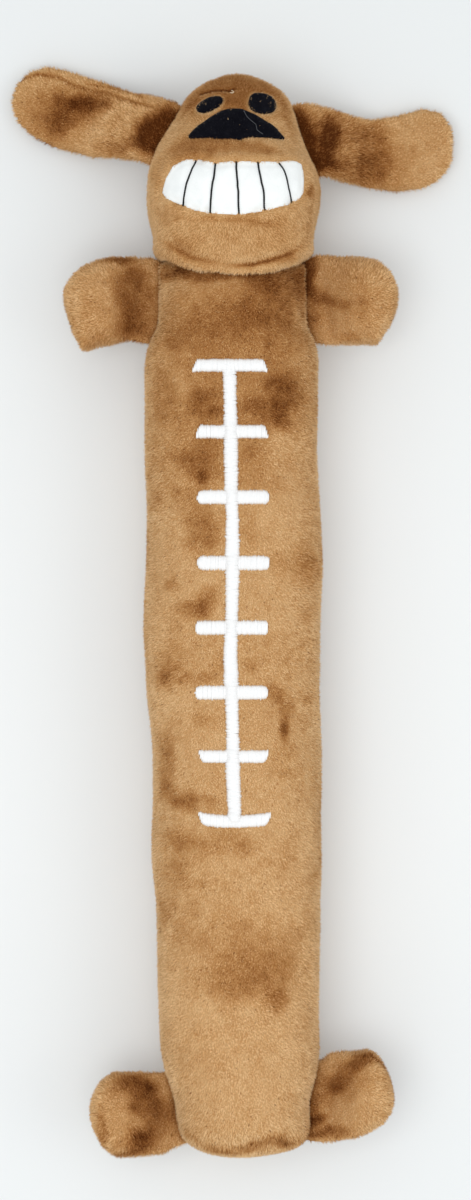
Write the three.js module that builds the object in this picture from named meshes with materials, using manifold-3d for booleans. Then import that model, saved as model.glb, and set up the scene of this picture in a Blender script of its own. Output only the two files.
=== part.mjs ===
// A long plush dog toy, lying on its back with the face up: a stuffed tube body with white football lacing,
// a stuffed head with a felt face, two flat ears, and four stubby stuffed limbs sewn into the side seams.
// Millimetres. +Y runs from the feet to the head, +Z from the back to the face, +X to the right seen from the front.
// The origin is in the middle of the body's length, on the flat that the toy rests on.

import * as THREE from "three";
import { mergeVertices } from "three/addons/utils/BufferGeometryUtils.js";
import Module from "manifold-3d";

const wasm = await Module();
wasm.setup();

// Fabric, gaps and cuts
const plushThickness = 2;
const limbPlushThickness = 1.6;
const seamGap = 0.3;
const restCut = 0.5;
const cutOverrun = 5;
const mergeTolerance = 1e-4;
const rightAngle = Math.PI / 2;
const seatSteps = 12;
const splineStepsPerPoint = 2;

// Body: a stuffed tube, round at the neck and closed by a flat seam at the feet
const bodyLength = 259.5;
const bodyHalfWidth = 24.8;
const bodyHalfHeight = 22.25;
const bodyBottomDepth = 10;
const bodySquareness = 2.4;
const bodyRingPoints = 24;
const bodyCoreRingPoints = 12;
const shoulderSteps = 6;
const bottomSteps = 2;
// rows: place along the tube, half width, and sideways lean, all as shares
const bodyProfileShares = [
  [0.0, 0.83, -0.034],
  [0.017, 0.855, -0.034],
  [0.039, 0.96, -0.04],
  [0.059, 0.992, -0.04],
  [0.169, 0.979, -0.057],
  [0.242, 0.985, -0.028],
  [0.317, 1.007, -0.017],
  [0.391, 1.007, -0.028],
  [0.465, 0.985, -0.04],
  [0.539, 0.962, 0.006],
  [0.613, 0.956, 0.011],
  [0.675, 0.97, 0.02],
  [0.724, 0.934, 0.034],
  [0.873, 0.911, 0.045],
  [0.91, 0.906, 0.062],
  [0.936, 0.866, 0.068],
  [0.971, 0.77, 0.074],
  [1.0, 0.745, 0.11],
];

// Head: a stuffed pad that wraps round the top of the body
const headReach = 67.4;
const headLength = 57.8;
const headHalfWidth = 24.5;
const headHeight = 57.5;
const headSquareness = 2.4;
const headWidestShare = 0.42;
const headSeamHeight = 20;
const headRingPoints = 24;
const headCoreRingPoints = 12;
// rows: place from crown to chin, half width, front height, back height and sideways lean, all as shares
const headProfileShares = [
  [0.0, 0.0, 0.36, 0.36, 0.016],
  [0.021, 0.2, 0.461, 0.252, 0.016],
  [0.059, 0.41, 0.557, 0.165, 0.016],
  [0.097, 0.54, 0.617, 0.122, 0.021],
  [0.137, 0.62, 0.67, 0.096, 0.023],
  [0.22, 0.698, 0.757, 0.052, 0.01],
  [0.287, 0.767, 0.817, 0.026, -0.02],
  [0.355, 0.845, 0.87, 0.01, -0.045],
  [0.427, 0.912, 0.922, 0.0, -0.045],
  [0.486, 0.971, 0.957, 0.0, -0.03],
  [0.573, 1.0, 0.991, 0.0, -0.018],
  [0.651, 0.996, 1.0, 0.0, -0.023],
  [0.713, 0.971, 0.991, 0.0, -0.028],
  [0.796, 0.918, 0.957, 0.003, -0.023],
  [0.848, 0.908, 0.904, 0.017, -0.023],
  [0.882, 0.89, 0.861, 0.035, -0.02],
  [0.917, 0.82, 0.823, 0.061, -0.016],
  [0.952, 0.67, 0.791, 0.096, -0.012],
  [0.978, 0.47, 0.767, 0.148, -0.01],
  [0.995, 0.2, 0.743, 0.217, -0.01],
  [1.0, 0.0, 0.53, 0.53, -0.01],
];

// Face: a white tooth panel let into the plush, five stitched tooth lines, and felt nose and eyes on top
const teethWidth = 39.2;
const teethHeight = 15.6;
const teethPlaceShare = 0.612;
const teethLeanShare = -0.031;
const teethSink = 0.7;
const teethThickness = 1.2;
const teethFit = 0.3;
const toothThreadWidth = 0.6;
const toothThreadHeight = 0.35;
const feltThickness = 0.8;
const noseWidth = 26.6;
const noseHeight = 9.2;
const nosePlaceShare = 0.306;
const noseLeanShare = 0.008;
const leftEyeWidth = 7.6;
const leftEyeHeight = 4.2;
const leftEyeTilt = 0.42;
const rightEyeWidth = 7.8;
const rightEyeHeight = 5.6;
const rightEyeTilt = -0.34;
const eyePlaceShare = 0.2;
const leftEyeLeanShare = -0.29;
const rightEyeLeanShare = 0.302;
const eyePoints = 16;
const stitchSteps = 5;
// x as shares of the panel's half width, y as shares of its half height, anticlockwise
const teethOutlineShares = [
  [-1.0, -0.08],
  [-0.93, -0.34],
  [-0.72, -0.62],
  [-0.55, -0.8],
  [-0.33, -0.93],
  [0.08, -1.0],
  [0.45, -0.84],
  [0.76, -0.6],
  [0.94, -0.34],
  [1.0, -0.06],
  [1.0, 0.5],
  [0.95, 0.92],
  [0.84, 1.0],
  [0.58, 0.9],
  [0.3, 0.88],
  [0.02, 0.9],
  [-0.24, 0.82],
  [-0.5, 0.98],
  [-0.64, 0.95],
  [-0.83, 0.72],
  [-0.94, 0.3],
];
const noseOutlineShares = [
  [-1.0, -0.72],
  [-0.64, -0.9],
  [-0.34, -0.95],
  [0.04, -1.0],
  [0.28, -0.84],
  [0.64, -0.82],
  [1.0, -0.72],
  [0.8, -0.22],
  [0.54, 0.36],
  [0.28, 0.82],
  [0.05, 1.0],
  [-0.28, 0.72],
  [-0.58, 0.12],
  [-0.86, -0.44],
];
// one row for each tooth line: top, middle and bottom points, as shares of the tooth panel's half sizes
const toothLineShares = [
  [[-0.52, 0.93], [-0.66, 0.1], [-0.705, -0.64]],
  [[-0.245, 0.79], [-0.285, 0.0], [-0.32, -0.9]],
  [[0.045, 0.87], [0.07, 0.1], [0.085, -0.95]],
  [[0.355, 0.85], [0.41, 0.05], [0.45, -0.8]],
  [[0.655, 0.88], [0.765, 0.36], [0.825, -0.48]],
];

// Ears: two plush layers each, sewn into the head's side seam, sloping down to the table
const earHalfThickness = 2.6;
const earFloorClearance = 0.4;
const earSquareness = 2.6;
const earRingPoints = 12;
const earSheetProud = 1;
const leftEarLength = 42;
const leftEarHalfWidth = 11.2;
const leftEarRootShares = [0.128, 0.401];
const rightEarLength = 37.2;
const rightEarHalfWidth = 11.5;
const rightEarRootShares = [0.138, 0.471];
// rows: outward, headward, width, drop, thickness and turn of the section, as shares
const leftEarShares = [
  [0.213, -0.083, 0.81, 0.52, 1.0, 0.5],
  [0.398, -0.136, 0.945, 0.86, 1.05, 0.9],
  [0.638, -0.183, 1.0, 1.0, 1.0, 1.0],
  [0.807, -0.219, 0.94, 1.0, 0.98, 1.0],
  [0.915, -0.26, 0.72, 0.97, 0.85, 1.0],
  [0.975, -0.285, 0.42, 0.95, 0.6, 1.0],
  [1.0, -0.3, 0.0, 0.93, 0.0, 1.0],
];
const rightEarShares = [
  [0.129, -0.078, 0.84, 0.35, 1.0, 0.4],
  [0.255, -0.156, 0.757, 0.66, 1.05, 0.8],
  [0.374, -0.223, 0.774, 0.88, 1.05, 1.0],
  [0.589, -0.298, 0.93, 1.0, 1.0, 1.0],
  [0.774, -0.336, 1.0, 0.98, 1.0, 1.0],
  [0.898, -0.368, 0.85, 0.92, 0.9, 1.0],
  [0.965, -0.4, 0.52, 0.88, 0.65, 1.0],
  [1.0, -0.425, 0.0, 0.86, 0.0, 1.0],
];
const leftEarTurn = -0.29;
const rightEarTurn = -0.4;

// Limbs: stuffed stubs, pinched flat where they are sewn to the body
const limbRootRadius = 2.4;
const limbRootSteps = 2;
const limbReach = 25;
const limbHalfThickness = 10.5;
const limbSquareness = 2.2;
const limbRingPoints = 14;
const limbCoreRingPoints = 8;
const limbCoreStartShare = 0.6;
const armDroop = 0.14;
const footDroop = 0.1;
// places of the headward and footward ends of each limb's seam: an arm's ahead of the neck's line, and a foot's
// ahead of the body's foot end
const leftArmSeam = [10.6, -9.2];
const rightArmSeam = [10.6, -8.6];
const leftFootSeam = [24.05, 4.85];
const rightFootSeam = [26.25, 6.05];
// rows: outward and headward place of a rib's headward end, the same of its footward end, and its thickness,
// as shares, all measured from the middle of the seam
const leftArmShares = [
  [0.02, 0.49, 0.12, -0.41, 0.24],
  [0.16, 0.55, 0.22, -0.38, 0.5],
  [0.33, 0.57, 0.35, -0.4, 0.84],
  [0.53, 0.55, 0.51, -0.41, 1],
  [0.7, 0.49, 0.67, -0.41, 0.93],
  [0.81, 0.4, 0.79, -0.29, 0.72],
  [0.89, 0.27, 0.88, -0.02, 0.42],
  [0.92, 0.14, 0.92, 0.12, 0],
];
const rightArmShares = [
  [0.03, 0.52, 0.12, -0.41, 0.24],
  [0.16, 0.56, 0.22, -0.42, 0.5],
  [0.33, 0.58, 0.35, -0.41, 0.84],
  [0.5, 0.57, 0.49, -0.4, 1],
  [0.65, 0.53, 0.64, -0.38, 0.93],
  [0.77, 0.43, 0.77, -0.23, 0.72],
  [0.86, 0.24, 0.84, -0.06, 0.42],
  [0.88, 0.11, 0.88, 0.08, 0],
];
const leftFootShares = [
  [0.13, 0.4, -0.06, -0.42, 0.24],
  [0.24, 0.41, 0.07, -0.48, 0.5],
  [0.41, 0.41, 0.28, -0.51, 0.86],
  [0.58, 0.4, 0.49, -0.51, 1],
  [0.71, 0.31, 0.66, -0.41, 0.86],
  [0.79, 0.15, 0.76, -0.23, 0.55],
  [0.82, 0.0, 0.82, -0.06, 0],
];
const rightFootShares = [
  [0.09, 0.48, 0.02, -0.41, 0.24],
  [0.2, 0.52, 0.16, -0.4, 0.5],
  [0.34, 0.55, 0.32, -0.38, 0.86],
  [0.49, 0.58, 0.5, -0.32, 1],
  [0.61, 0.47, 0.65, -0.24, 0.86],
  [0.71, 0.32, 0.73, -0.13, 0.55],
  [0.77, 0.13, 0.78, 0.0, 0],
];

// Lacing: one long satin-stitched column over eight cross bars
const laceBarCount = 8;
const laceSpacing = 17.83;
const laceTopPlace = 16.4;
const laceBarLength = 19.8;
const laceBarWidth = 3.8;
const laceBarThickness = 0.8;
const laceSpineWidth = 3.7;
const laceSpineThickness = 1.8;
const laceEndBevelShare = 0.15;
// sideways lean of each bar from the image's middle, and how far its ends slant: out, square or in
const laceLeanShares = [-0.054, -0.046, -0.028, -0.022, -0.04, -0.04, -0.014, -0.002];
const laceSlantShares = [1, 1, 0.2, 0.1, 0, -0.1, -1, -1];

// Squeaker: a soft plastic bulb with a valve and reed, buried in the stuffing
const squeakerPlace = 62;
const squeakerRadius = 15;
const squeakerHeight = 20;
const squeakerWall = 0.9;
const squeakerPleatDepth = 1.6;
const squeakerNeckRadius = 5;
const squeakerSegments = 20;
const valveFlangeRadius = 6.6;
const valveFlangeThickness = 1;
const valveBoreRadius = 2.4;
const valveLength = 9;
const reedWidth = 3.8;
const reedLength = 6.5;
const reedThickness = 0.3;
const pocketClearance = 0.4;

// Places that follow from the sizes
const bodyMidHeight = bodyHalfHeight - restCut;
const neckLineY = bodyLength / 2 - bodyHalfHeight;
const footEndY = -bodyLength / 2;
const bottomLineY = footEndY + bodyBottomDepth;
const crownY = neckLineY + headReach;

const plushBrown = 0xb68e5e;
const plush = new THREE.MeshStandardMaterial({ color: plushBrown, roughness: 0.95, metalness: 0 });
const felt = new THREE.MeshStandardMaterial({ color: 0x15161a, roughness: 0.9, metalness: 0 });
const whiteFabric = new THREE.MeshStandardMaterial({ color: 0xf0f2f2, roughness: 0.6, metalness: 0 });
const whiteThread = new THREE.MeshStandardMaterial({ color: 0xf6f8f6, roughness: 0.5, metalness: 0 });
const blackThread = new THREE.MeshStandardMaterial({ color: 0x202226, roughness: 0.5, metalness: 0 });
const fibrefill = new THREE.MeshStandardMaterial({ color: 0xf2f1ec, roughness: 1, metalness: 0 });
const squeakerPlastic = new THREE.MeshStandardMaterial({ color: 0xe9e9e4, roughness: 0.35, metalness: 0 });
const valvePlastic = new THREE.MeshStandardMaterial({ color: 0xd8d8d2, roughness: 0.4, metalness: 0 });

// Turns a closed BufferGeometry into a solid, whichever way its faces point.
function solidOf(geometry) {
  const bare = geometry.index ? geometry.toNonIndexed() : geometry.clone();
  const positions = new THREE.BufferGeometry().setAttribute("position", bare.getAttribute("position"));
  const merged = mergeVertices(positions, mergeTolerance);
  const index = merged.index.array;
  const place = merged.attributes.position;
  const corner = (n) => new THREE.Vector3().fromBufferAttribute(place, n);
  const kept = [];
  let volume = 0;
  for (let i = 0; i < index.length; i += 3) {
    const [a, b, c] = index.slice(i, i + 3);
    if (a === b || b === c || a === c) continue;
    kept.push(a, b, c);
    volume += corner(a).dot(corner(b).cross(corner(c)));
  }
  if (volume < 0) {
    for (let i = 0; i < kept.length; i += 3) [kept[i + 1], kept[i + 2]] = [kept[i + 2], kept[i + 1]];
  }
  const mesh = new wasm.Mesh({ numProp: 3, vertProperties: place.array, triVerts: new Uint32Array(kept) });
  return new wasm.Manifold(mesh);
}

function geometryOf(solid) {
  const { vertProperties, numProp, triVerts, numVert } = solid.getMesh();
  const positions = new Float32Array(numVert * 3);
  for (let i = 0; i < numVert; i++) {
    positions.set(vertProperties.subarray(i * numProp, i * numProp + 3), i * 3);
  }
  const geometry = new THREE.BufferGeometry();
  geometry.setAttribute("position", new THREE.BufferAttribute(positions, 3));
  geometry.setIndex(new THREE.BufferAttribute(triVerts, 1));
  geometry.computeVertexNormals();
  return geometry;
}

// A closed skin through rings of points. Each end ring is closed by its centre, or by folding flat.
function loft(rings) {
  const count = rings[0].length;
  const points = rings.flat();
  const faces = [];
  for (let r = 0; r + 1 < rings.length; r++) {
    for (let k = 0; k < count; k++) {
      const next = (k + 1) % count;
      const [a, b, c, d] = [r * count + k, r * count + next, (r + 1) * count + next, (r + 1) * count + k];
      faces.push(a, b, c, a, c, d);
    }
  }
  const geometry = new THREE.BufferGeometry().setFromPoints(points);
  geometry.setIndex(faces);
  return solidOf(geometry);
}

// A section of half sizes 1, squarer than an ellipse. Its two halves are exact mirrors, so that a ring can fold flat.
function superellipse(count, squareness) {
  const half = Array.from({ length: count / 2 - 1 }, (_, k) => {
    const angle = (2 * Math.PI * (k + 1)) / count;
    const [c, s] = [Math.cos(angle), Math.sin(angle)];
    return [Math.sign(c) * Math.abs(c) ** (2 / squareness), s ** (2 / squareness)];
  });
  const mirrored = half.map(([c, s]) => [c, -s]).reverse();
  return [[1, 0], ...half, [-1, 0], ...mirrored];
}

function boxSolid(low, high) {
  const size = high.clone().sub(low);
  const geometry = new THREE.BoxGeometry(size.x, size.y, size.z);
  geometry.translate(...low.clone().add(high).multiplyScalar(0.5).toArray());
  return solidOf(geometry);
}

function interpolate(rows, place) {
  const found = rows.findIndex((row) => row[0] >= place);
  if (found <= 0) return rows[found === 0 ? 0 : rows.length - 1];
  const [low, high] = [rows[found - 1], rows[found]];
  const t = (place - low[0]) / (high[0] - low[0]);
  return low.map((v, i) => v + (high[i] - v) * t);
}

// The body's form, shrunk all round by inset, or grown where inset is below zero.
function bodyForm(inset, ringPoints = bodyRingPoints) {
  const section = superellipse(ringPoints, bodySquareness);
  const height = bodyHalfHeight - inset;
  const ring = ([place, widthShare, leanShare], tilt, end) => {
    const halfWidth = bodyHalfWidth * widthShare - inset;
    const lean = bodyHalfWidth * leanShare;
    const line = neckLineY + (bottomLineY - neckLineY) * place;
    return section.map(([c, s]) => {
      const y = line + end * Math.abs(s) * Math.sin(tilt);
      return new THREE.Vector3(lean + halfWidth * c, y, bodyMidHeight + height * s * Math.cos(tilt));
    });
  };
  const first = bodyProfileShares[0];
  const last = bodyProfileShares.at(-1);
  const rings = [];
  for (let k = shoulderSteps; k > 0; k--) rings.push(ring(first, (rightAngle * k) / shoulderSteps, height));
  bodyProfileShares.forEach((row) => rings.push(ring(row, 0, 0)));
  for (let k = 1; k <= bottomSteps; k++) {
    rings.push(ring(last, (rightAngle * k) / bottomSteps, inset - bodyBottomDepth));
  }
  return loft(rings);
}

// The x of the body's side, right (1) or left (-1), at a y and z.
function bodySide(side, y, z) {
  const place = THREE.MathUtils.clamp((neckLineY - y) / (neckLineY - bottomLineY), 0, 1);
  const [, widthShare, leanShare] = interpolate(bodyProfileShares, place);
  const above = Math.max(y - neckLineY, 0);
  const below = (Math.max(bottomLineY - y, 0) * bodyHalfHeight) / bodyBottomDepth;
  const across = Math.min(Math.hypot(above, below, z - bodyMidHeight) / bodyHalfHeight, 1);
  const reach = (1 - across ** bodySquareness) ** (1 / bodySquareness);
  return bodyHalfWidth * (leanShare + side * widthShare * reach);
}

function headRow(place) {
  const [, widthShare, frontShare, backShare, leanShare] = interpolate(headProfileShares, place);
  const front = headHeight * frontShare - restCut;
  const back = headHeight * backShare - restCut;
  return {
    halfWidth: headHalfWidth * widthShare,
    lean: headHalfWidth * leanShare,
    front,
    back,
    widest: back + (front - back) * headWidestShare,
  };
}

// The head's form before the body's round top is taken out of it.
function headForm(inset, ringPoints = headRingPoints) {
  const section = superellipse(ringPoints, headSquareness);
  const middleY = crownY - headLength / 2;
  const shrink = (headLength - 2 * inset) / headLength;
  const rings = headProfileShares.map(([place, widthShare]) => {
    const { halfWidth, lean, front, back, widest } = headRow(place);
    const y = middleY + (headLength / 2 - headLength * place) * shrink;
    const ends = widthShare === 0;
    return section.map(([c, s]) => {
      const x = ends ? lean : lean + (halfWidth - inset) * c;
      const rise = s > 0 ? front - inset - widest : widest - back - inset;
      return new THREE.Vector3(x, y, ends ? widest : widest + rise * s);
    });
  });
  return loft(rings);
}

function headSide(side, y, z) {
  const { halfWidth, lean, front, back, widest } = headRow((crownY - y) / headLength);
  const rise = z > widest ? front - widest : widest - back;
  const across = Math.min(Math.abs(z - widest) / rise, 1);
  return lean + side * halfWidth * (1 - across ** headSquareness) ** (1 / headSquareness);
}

// Where a limb or ear is sewn on: a hinge line just outside the side between two places, its heading seen from
// the front, and the line of the side itself, measured from the hinge.
function seat(sideAt, side, headEndY, footEndY, z, rootRadius) {
  const samples = Array.from({ length: seatSteps + 1 }, (_, i) => {
    const y = footEndY + ((headEndY - footEndY) * i) / seatSteps;
    return new THREE.Vector2(sideAt(side, y, z) + side * seamGap, y);
  });
  const [footEnd, headEnd] = [samples[0], samples.at(-1)];
  const along = headEnd.clone().sub(footEnd).normalize();
  const outward = new THREE.Vector2(along.y, -along.x).multiplyScalar(side);
  const proud = Math.max(...samples.map((point) => point.clone().sub(footEnd).dot(outward)));
  const middle = headEnd.clone().add(footEnd).multiplyScalar(0.5);
  const hinge = middle.addScaledVector(outward, proud + rootRadius);
  const heading = Math.atan2(-along.x, along.y) + (side < 0 ? Math.PI : 0);
  const line = samples.map((point) => point.clone().sub(hinge).rotateAround(new THREE.Vector2(), -heading));
  return { hinge: new THREE.Vector3(hinge.x, hinge.y, z), heading, line };
}

// A closed outline through points given as shares of half sizes, standing as a prism through the face.
function outlinePrism(pointShares, centre, halfWidth, halfHeight, low, high) {
  const points = pointShares.map(([x, y]) => new THREE.Vector3(x * halfWidth, y * halfHeight, 0));
  const curve = new THREE.CatmullRomCurve3(points, true, "centripetal");
  const shape = new THREE.Shape(
    curve.getPoints(points.length * splineStepsPerPoint).slice(0, -1).map((p) => new THREE.Vector2(p.x, p.y)),
  );
  const geometry = new THREE.ExtrudeGeometry(shape, { depth: high - low, bevelEnabled: false, curveSegments: 1 });
  geometry.translate(centre.x, centre.y, low);
  return solidOf(geometry);
}

const group = new THREE.Group();

function addMesh(parent, name, geometry, material) {
  const mesh = new THREE.Mesh(geometry, material);
  mesh.name = name;
  parent.add(mesh);
  return mesh;
}

function addSolid(parent, name, solid, material) {
  return addMesh(parent, name, geometryOf(solid), material);
}

// The two pieces that a cut leaves, the front one first.
function frontAndBack(solid) {
  const pieces = solid.decompose().sort((a, b) => b.volume() - a.volume()).slice(0, 2);
  const middle = (piece) => {
    const { min, max } = piece.boundingBox();
    return min[2] + max[2];
  };
  return pieces.sort((a, b) => middle(b) - middle(a));
}

// A flat sheet as thick as the seam gap, at one height, that parts a front panel from a back panel.
function seamSheet(z, reach) {
  return boxSolid(
    new THREE.Vector3(-reach, -reach, z - seamGap / 2),
    new THREE.Vector3(reach, reach, z + seamGap / 2),
  );
}

const wholeReach = bodyLength + headReach;
const floor = boxSolid(
  new THREE.Vector3(-wholeReach, -wholeReach, -cutOverrun),
  new THREE.Vector3(wholeReach, wholeReach, 0),
);

// Squeaker, standing in the body's stuffing with its valve towards the back
function squeaker() {
  const holder = new THREE.Group();
  holder.position.set(0, neckLineY - squeakerPlace, bodyMidHeight);
  const half = squeakerHeight / 2;
  const pleat = squeakerRadius - squeakerPleatDepth;
  const outer = [
    [0, half],
    [squeakerRadius * 0.72, half],
    [squeakerRadius, half * 0.62],
    [pleat, half * 0.3],
    [squeakerRadius, 0],
    [pleat, -half * 0.3],
    [squeakerRadius, -half * 0.62],
    [squeakerRadius * 0.72, -half],
    [squeakerNeckRadius, -half],
  ];
  const inner = outer.map(([r, z]) => {
    const radius = r === 0 || r === squeakerNeckRadius ? r : r - squeakerWall;
    return [radius, Math.abs(z) === half ? z - Math.sign(z) * squeakerWall : z];
  });
  const profile = [...outer, ...inner.reverse()].map(([r, z]) => new THREE.Vector2(r, z));
  const bulb = new THREE.LatheGeometry(profile, squeakerSegments).rotateX(rightAngle);
  addSolid(holder, "squeaker_bulb", solidOf(bulb), squeakerPlastic);

  const stem = squeakerNeckRadius - seamGap;
  const flangeTop = -half - seamGap;
  const valveProfile = [
    [valveBoreRadius, flangeTop + valveLength],
    [valveBoreRadius, flangeTop - valveFlangeThickness],
    [valveFlangeRadius, flangeTop - valveFlangeThickness],
    [valveFlangeRadius, flangeTop],
    [stem, flangeTop],
    [stem, flangeTop + valveLength],
    [valveBoreRadius, flangeTop + valveLength],
  ].map(([r, z]) => new THREE.Vector2(r, z));
  const valve = new THREE.LatheGeometry(valveProfile, squeakerSegments).rotateX(rightAngle);
  addSolid(holder, "squeaker_valve", solidOf(valve), valvePlastic);

  const reed = addMesh(holder, "squeaker_reed", new THREE.BoxGeometry(reedWidth, reedThickness, reedLength), valvePlastic);
  reed.position.z = flangeTop + valveLength / 2;
  group.add(holder);
}

// The room that the squeaker takes in the stuffing
function squeakerPocket() {
  const top = squeakerHeight / 2 + pocketClearance;
  const radius = squeakerRadius + pocketClearance;
  const bottom = -top - valveFlangeThickness - seamGap;
  const geometry = new THREE.CylinderGeometry(radius, radius, top - bottom, squeakerSegments).rotateX(rightAngle);
  geometry.translate(0, neckLineY - squeakerPlace, bodyMidHeight + (top + bottom) / 2);
  return solidOf(geometry);
}

function body() {
  const shell = bodyForm(0).subtract(bodyForm(plushThickness, bodyCoreRingPoints)).subtract(floor);
  const sheet = seamSheet(bodyMidHeight, wholeReach);
  const [front, back] = frontAndBack(shell.subtract(sheet));
  addSolid(group, "body_front_panel", front, plush);
  addSolid(group, "body_back_panel", back, plush);
  const core = bodyForm(plushThickness + seamGap, bodyCoreRingPoints).subtract(squeakerPocket());
  const [coreFront, coreBack] = frontAndBack(core.subtract(sheet));
  addSolid(group, "body_stuffing_front", coreFront, fibrefill);
  addSolid(group, "body_stuffing_back", coreBack, fibrefill);
}

// A strip of the body's skin, between two heights above it, inside a prism.
function bodySkin(low, high, prism) {
  return bodyForm(-high).intersect(prism).subtract(bodyForm(-low));
}

function lacing() {
  const spineTop = neckLineY - laceTopPlace;
  const barY = (i) => spineTop - i * laceSpacing;
  const skyHigh = bodyMidHeight + bodyHalfHeight + cutOverrun;
  const bars = laceLeanShares.map((leanShare, i) => {
    const half = laceBarLength / 2;
    const slant = laceBarLength * laceEndBevelShare * 0.5 * laceSlantShares[i];
    const [wide, narrow] = [half, half - Math.abs(slant)];
    const [headEnd, footEnd] = slant > 0 ? [narrow, wide] : [wide, narrow];
    const w = laceBarWidth / 2;
    const shape = new THREE.Shape([
      new THREE.Vector2(-footEnd, -w),
      new THREE.Vector2(footEnd, -w),
      new THREE.Vector2(headEnd, w),
      new THREE.Vector2(-headEnd, w),
    ]);
    const geometry = new THREE.ExtrudeGeometry(shape, { depth: skyHigh - bodyMidHeight, bevelEnabled: false });
    geometry.translate(bodyHalfWidth * leanShare, barY(i), bodyMidHeight);
    return { prism: solidOf(geometry), lean: bodyHalfWidth * leanShare, y: barY(i) };
  });
  bars.forEach(({ prism }, i) => {
    const bar = bodySkin(seamGap, seamGap + laceBarThickness, prism);
    addSolid(group, `lace_bar_${i + 1}`, bar, whiteThread);
  });

  const spineHalf = laceSpineWidth / 2;
  const left = bars.map(({ lean, y }) => new THREE.Vector2(lean - spineHalf, y));
  const right = bars.map(({ lean, y }) => new THREE.Vector2(lean + spineHalf, y));
  const outline = new THREE.Shape([...left, ...right.reverse()]);
  const geometry = new THREE.ExtrudeGeometry(outline, { depth: skyHigh - bodyMidHeight, bevelEnabled: false });
  geometry.translate(0, 0, bodyMidHeight);
  let spine = bodySkin(seamGap, seamGap + laceSpineThickness, solidOf(geometry));
  const barRoom = bodyForm(-seamGap * 2 - laceBarThickness);
  bars.forEach(({ y }) => {
    const reach = laceBarWidth / 2 + seamGap;
    const strip = boxSolid(
      new THREE.Vector3(-bodyHalfWidth, y - reach, bodyMidHeight),
      new THREE.Vector3(bodyHalfWidth, y + reach, skyHigh),
    );
    spine = spine.subtract(strip.intersect(barRoom));
  });
  addSolid(group, "lace_spine", spine, whiteThread);
}

function head() {
  const top = headHeight + cutOverrun;
  const neckRoom = (extra, points) => bodyForm(-seamGap - extra, points);
  const outer = headForm(0).subtract(neckRoom(0)).subtract(floor);
  const inner = headForm(plushThickness, headCoreRingPoints).subtract(neckRoom(plushThickness));
  const teethCentre = new THREE.Vector2(headHalfWidth * teethLeanShare, crownY - headLength * teethPlaceShare);
  const [halfWidth, halfHeight] = [teethWidth / 2, teethHeight / 2];
  const window_ = outlinePrism(teethOutlineShares, teethCentre, halfWidth, halfHeight, headSeamHeight, top);
  const [face, back] = frontAndBack(
    outer.subtract(inner).subtract(seamSheet(headSeamHeight, wholeReach)).subtract(window_),
  );
  addSolid(group, "head_face_panel", face, plush);
  addSolid(group, "head_back_panel", back, plush);
  const core = headForm(plushThickness + seamGap, headCoreRingPoints)
    .subtract(neckRoom(plushThickness + seamGap));
  addSolid(group, "head_stuffing", core, fibrefill);

  const panelPrism = outlinePrism(
    teethOutlineShares,
    teethCentre,
    halfWidth - teethFit,
    halfHeight - teethFit,
    headSeamHeight,
    top,
  );
  const teeth = headForm(teethSink).intersect(panelPrism).subtract(headForm(teethSink + teethThickness));
  addSolid(group, "teeth_panel", teeth, whiteFabric);

  const threadTop = teethSink - seamGap - toothThreadHeight;
  const threadSkin = headForm(threadTop).subtract(headForm(teethSink - seamGap));
  toothLineShares.forEach((line, i) => {
    const points = line.map(
      ([x, y]) => new THREE.Vector3(teethCentre.x + x * halfWidth, teethCentre.y + y * halfHeight, top),
    );
    const path = new THREE.CatmullRomCurve3(points);
    const centre = path.getPoints(stitchSteps);
    const outlineSide = (sign) =>
      centre.map((p, k) => {
        const tangent = path.getTangent(k / stitchSteps);
        return new THREE.Vector2(
          p.x - (tangent.y * sign * toothThreadWidth) / 2,
          p.y + (tangent.x * sign * toothThreadWidth) / 2,
        );
      });
    const shape = new THREE.Shape([...outlineSide(1), ...outlineSide(-1).reverse()]);
    const geometry = new THREE.ExtrudeGeometry(shape, { depth: top - headSeamHeight, bevelEnabled: false });
    geometry.translate(0, 0, headSeamHeight);
    const stitch = threadSkin.intersect(panelPrism).intersect(solidOf(geometry));
    addSolid(group, `tooth_stitch_${i + 1}`, stitch, blackThread);
  });

  const feltSkin = headForm(-seamGap - feltThickness).subtract(headForm(-seamGap));
  const noseCentre = new THREE.Vector2(headHalfWidth * noseLeanShare, crownY - headLength * nosePlaceShare);
  const nosePrism = outlinePrism(
    noseOutlineShares,
    noseCentre,
    noseWidth / 2,
    noseHeight / 2,
    headSeamHeight,
    top,
  );
  addSolid(group, "nose_patch", feltSkin.intersect(nosePrism), felt);
  const eye = (name, leanShare, width, height, tilt) => {
    const points = Array.from({ length: eyePoints }, (_, k) => {
      const angle = (2 * Math.PI * k) / eyePoints;
      const point = new THREE.Vector2((Math.cos(angle) * width) / 2, (Math.sin(angle) * height) / 2);
      return point.rotateAround(new THREE.Vector2(), tilt);
    });
    const geometry = new THREE.ExtrudeGeometry(new THREE.Shape(points), {
      depth: top - headSeamHeight,
      bevelEnabled: false,
    });
    geometry.translate(headHalfWidth * leanShare, crownY - headLength * eyePlaceShare, headSeamHeight);
    addSolid(group, name, feltSkin.intersect(solidOf(geometry)), felt);
  };
  eye("left_eye_patch", leftEyeLeanShare, leftEyeWidth, leftEyeHeight, leftEyeTilt);
  eye("right_eye_patch", rightEyeLeanShare, rightEyeWidth, rightEyeHeight, rightEyeTilt);
}

// A holder at a hinge line: x points outwards, y along the seam, z up, and droop tips the far end down.
function hingeGroup(name, { hinge, heading }, droop) {
  const holder = new THREE.Group();
  holder.name = `${name}_hinge`;
  holder.position.copy(hinge);
  holder.rotation.set(0, droop, heading, "ZYX");
  group.add(holder);
  return holder;
}

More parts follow.
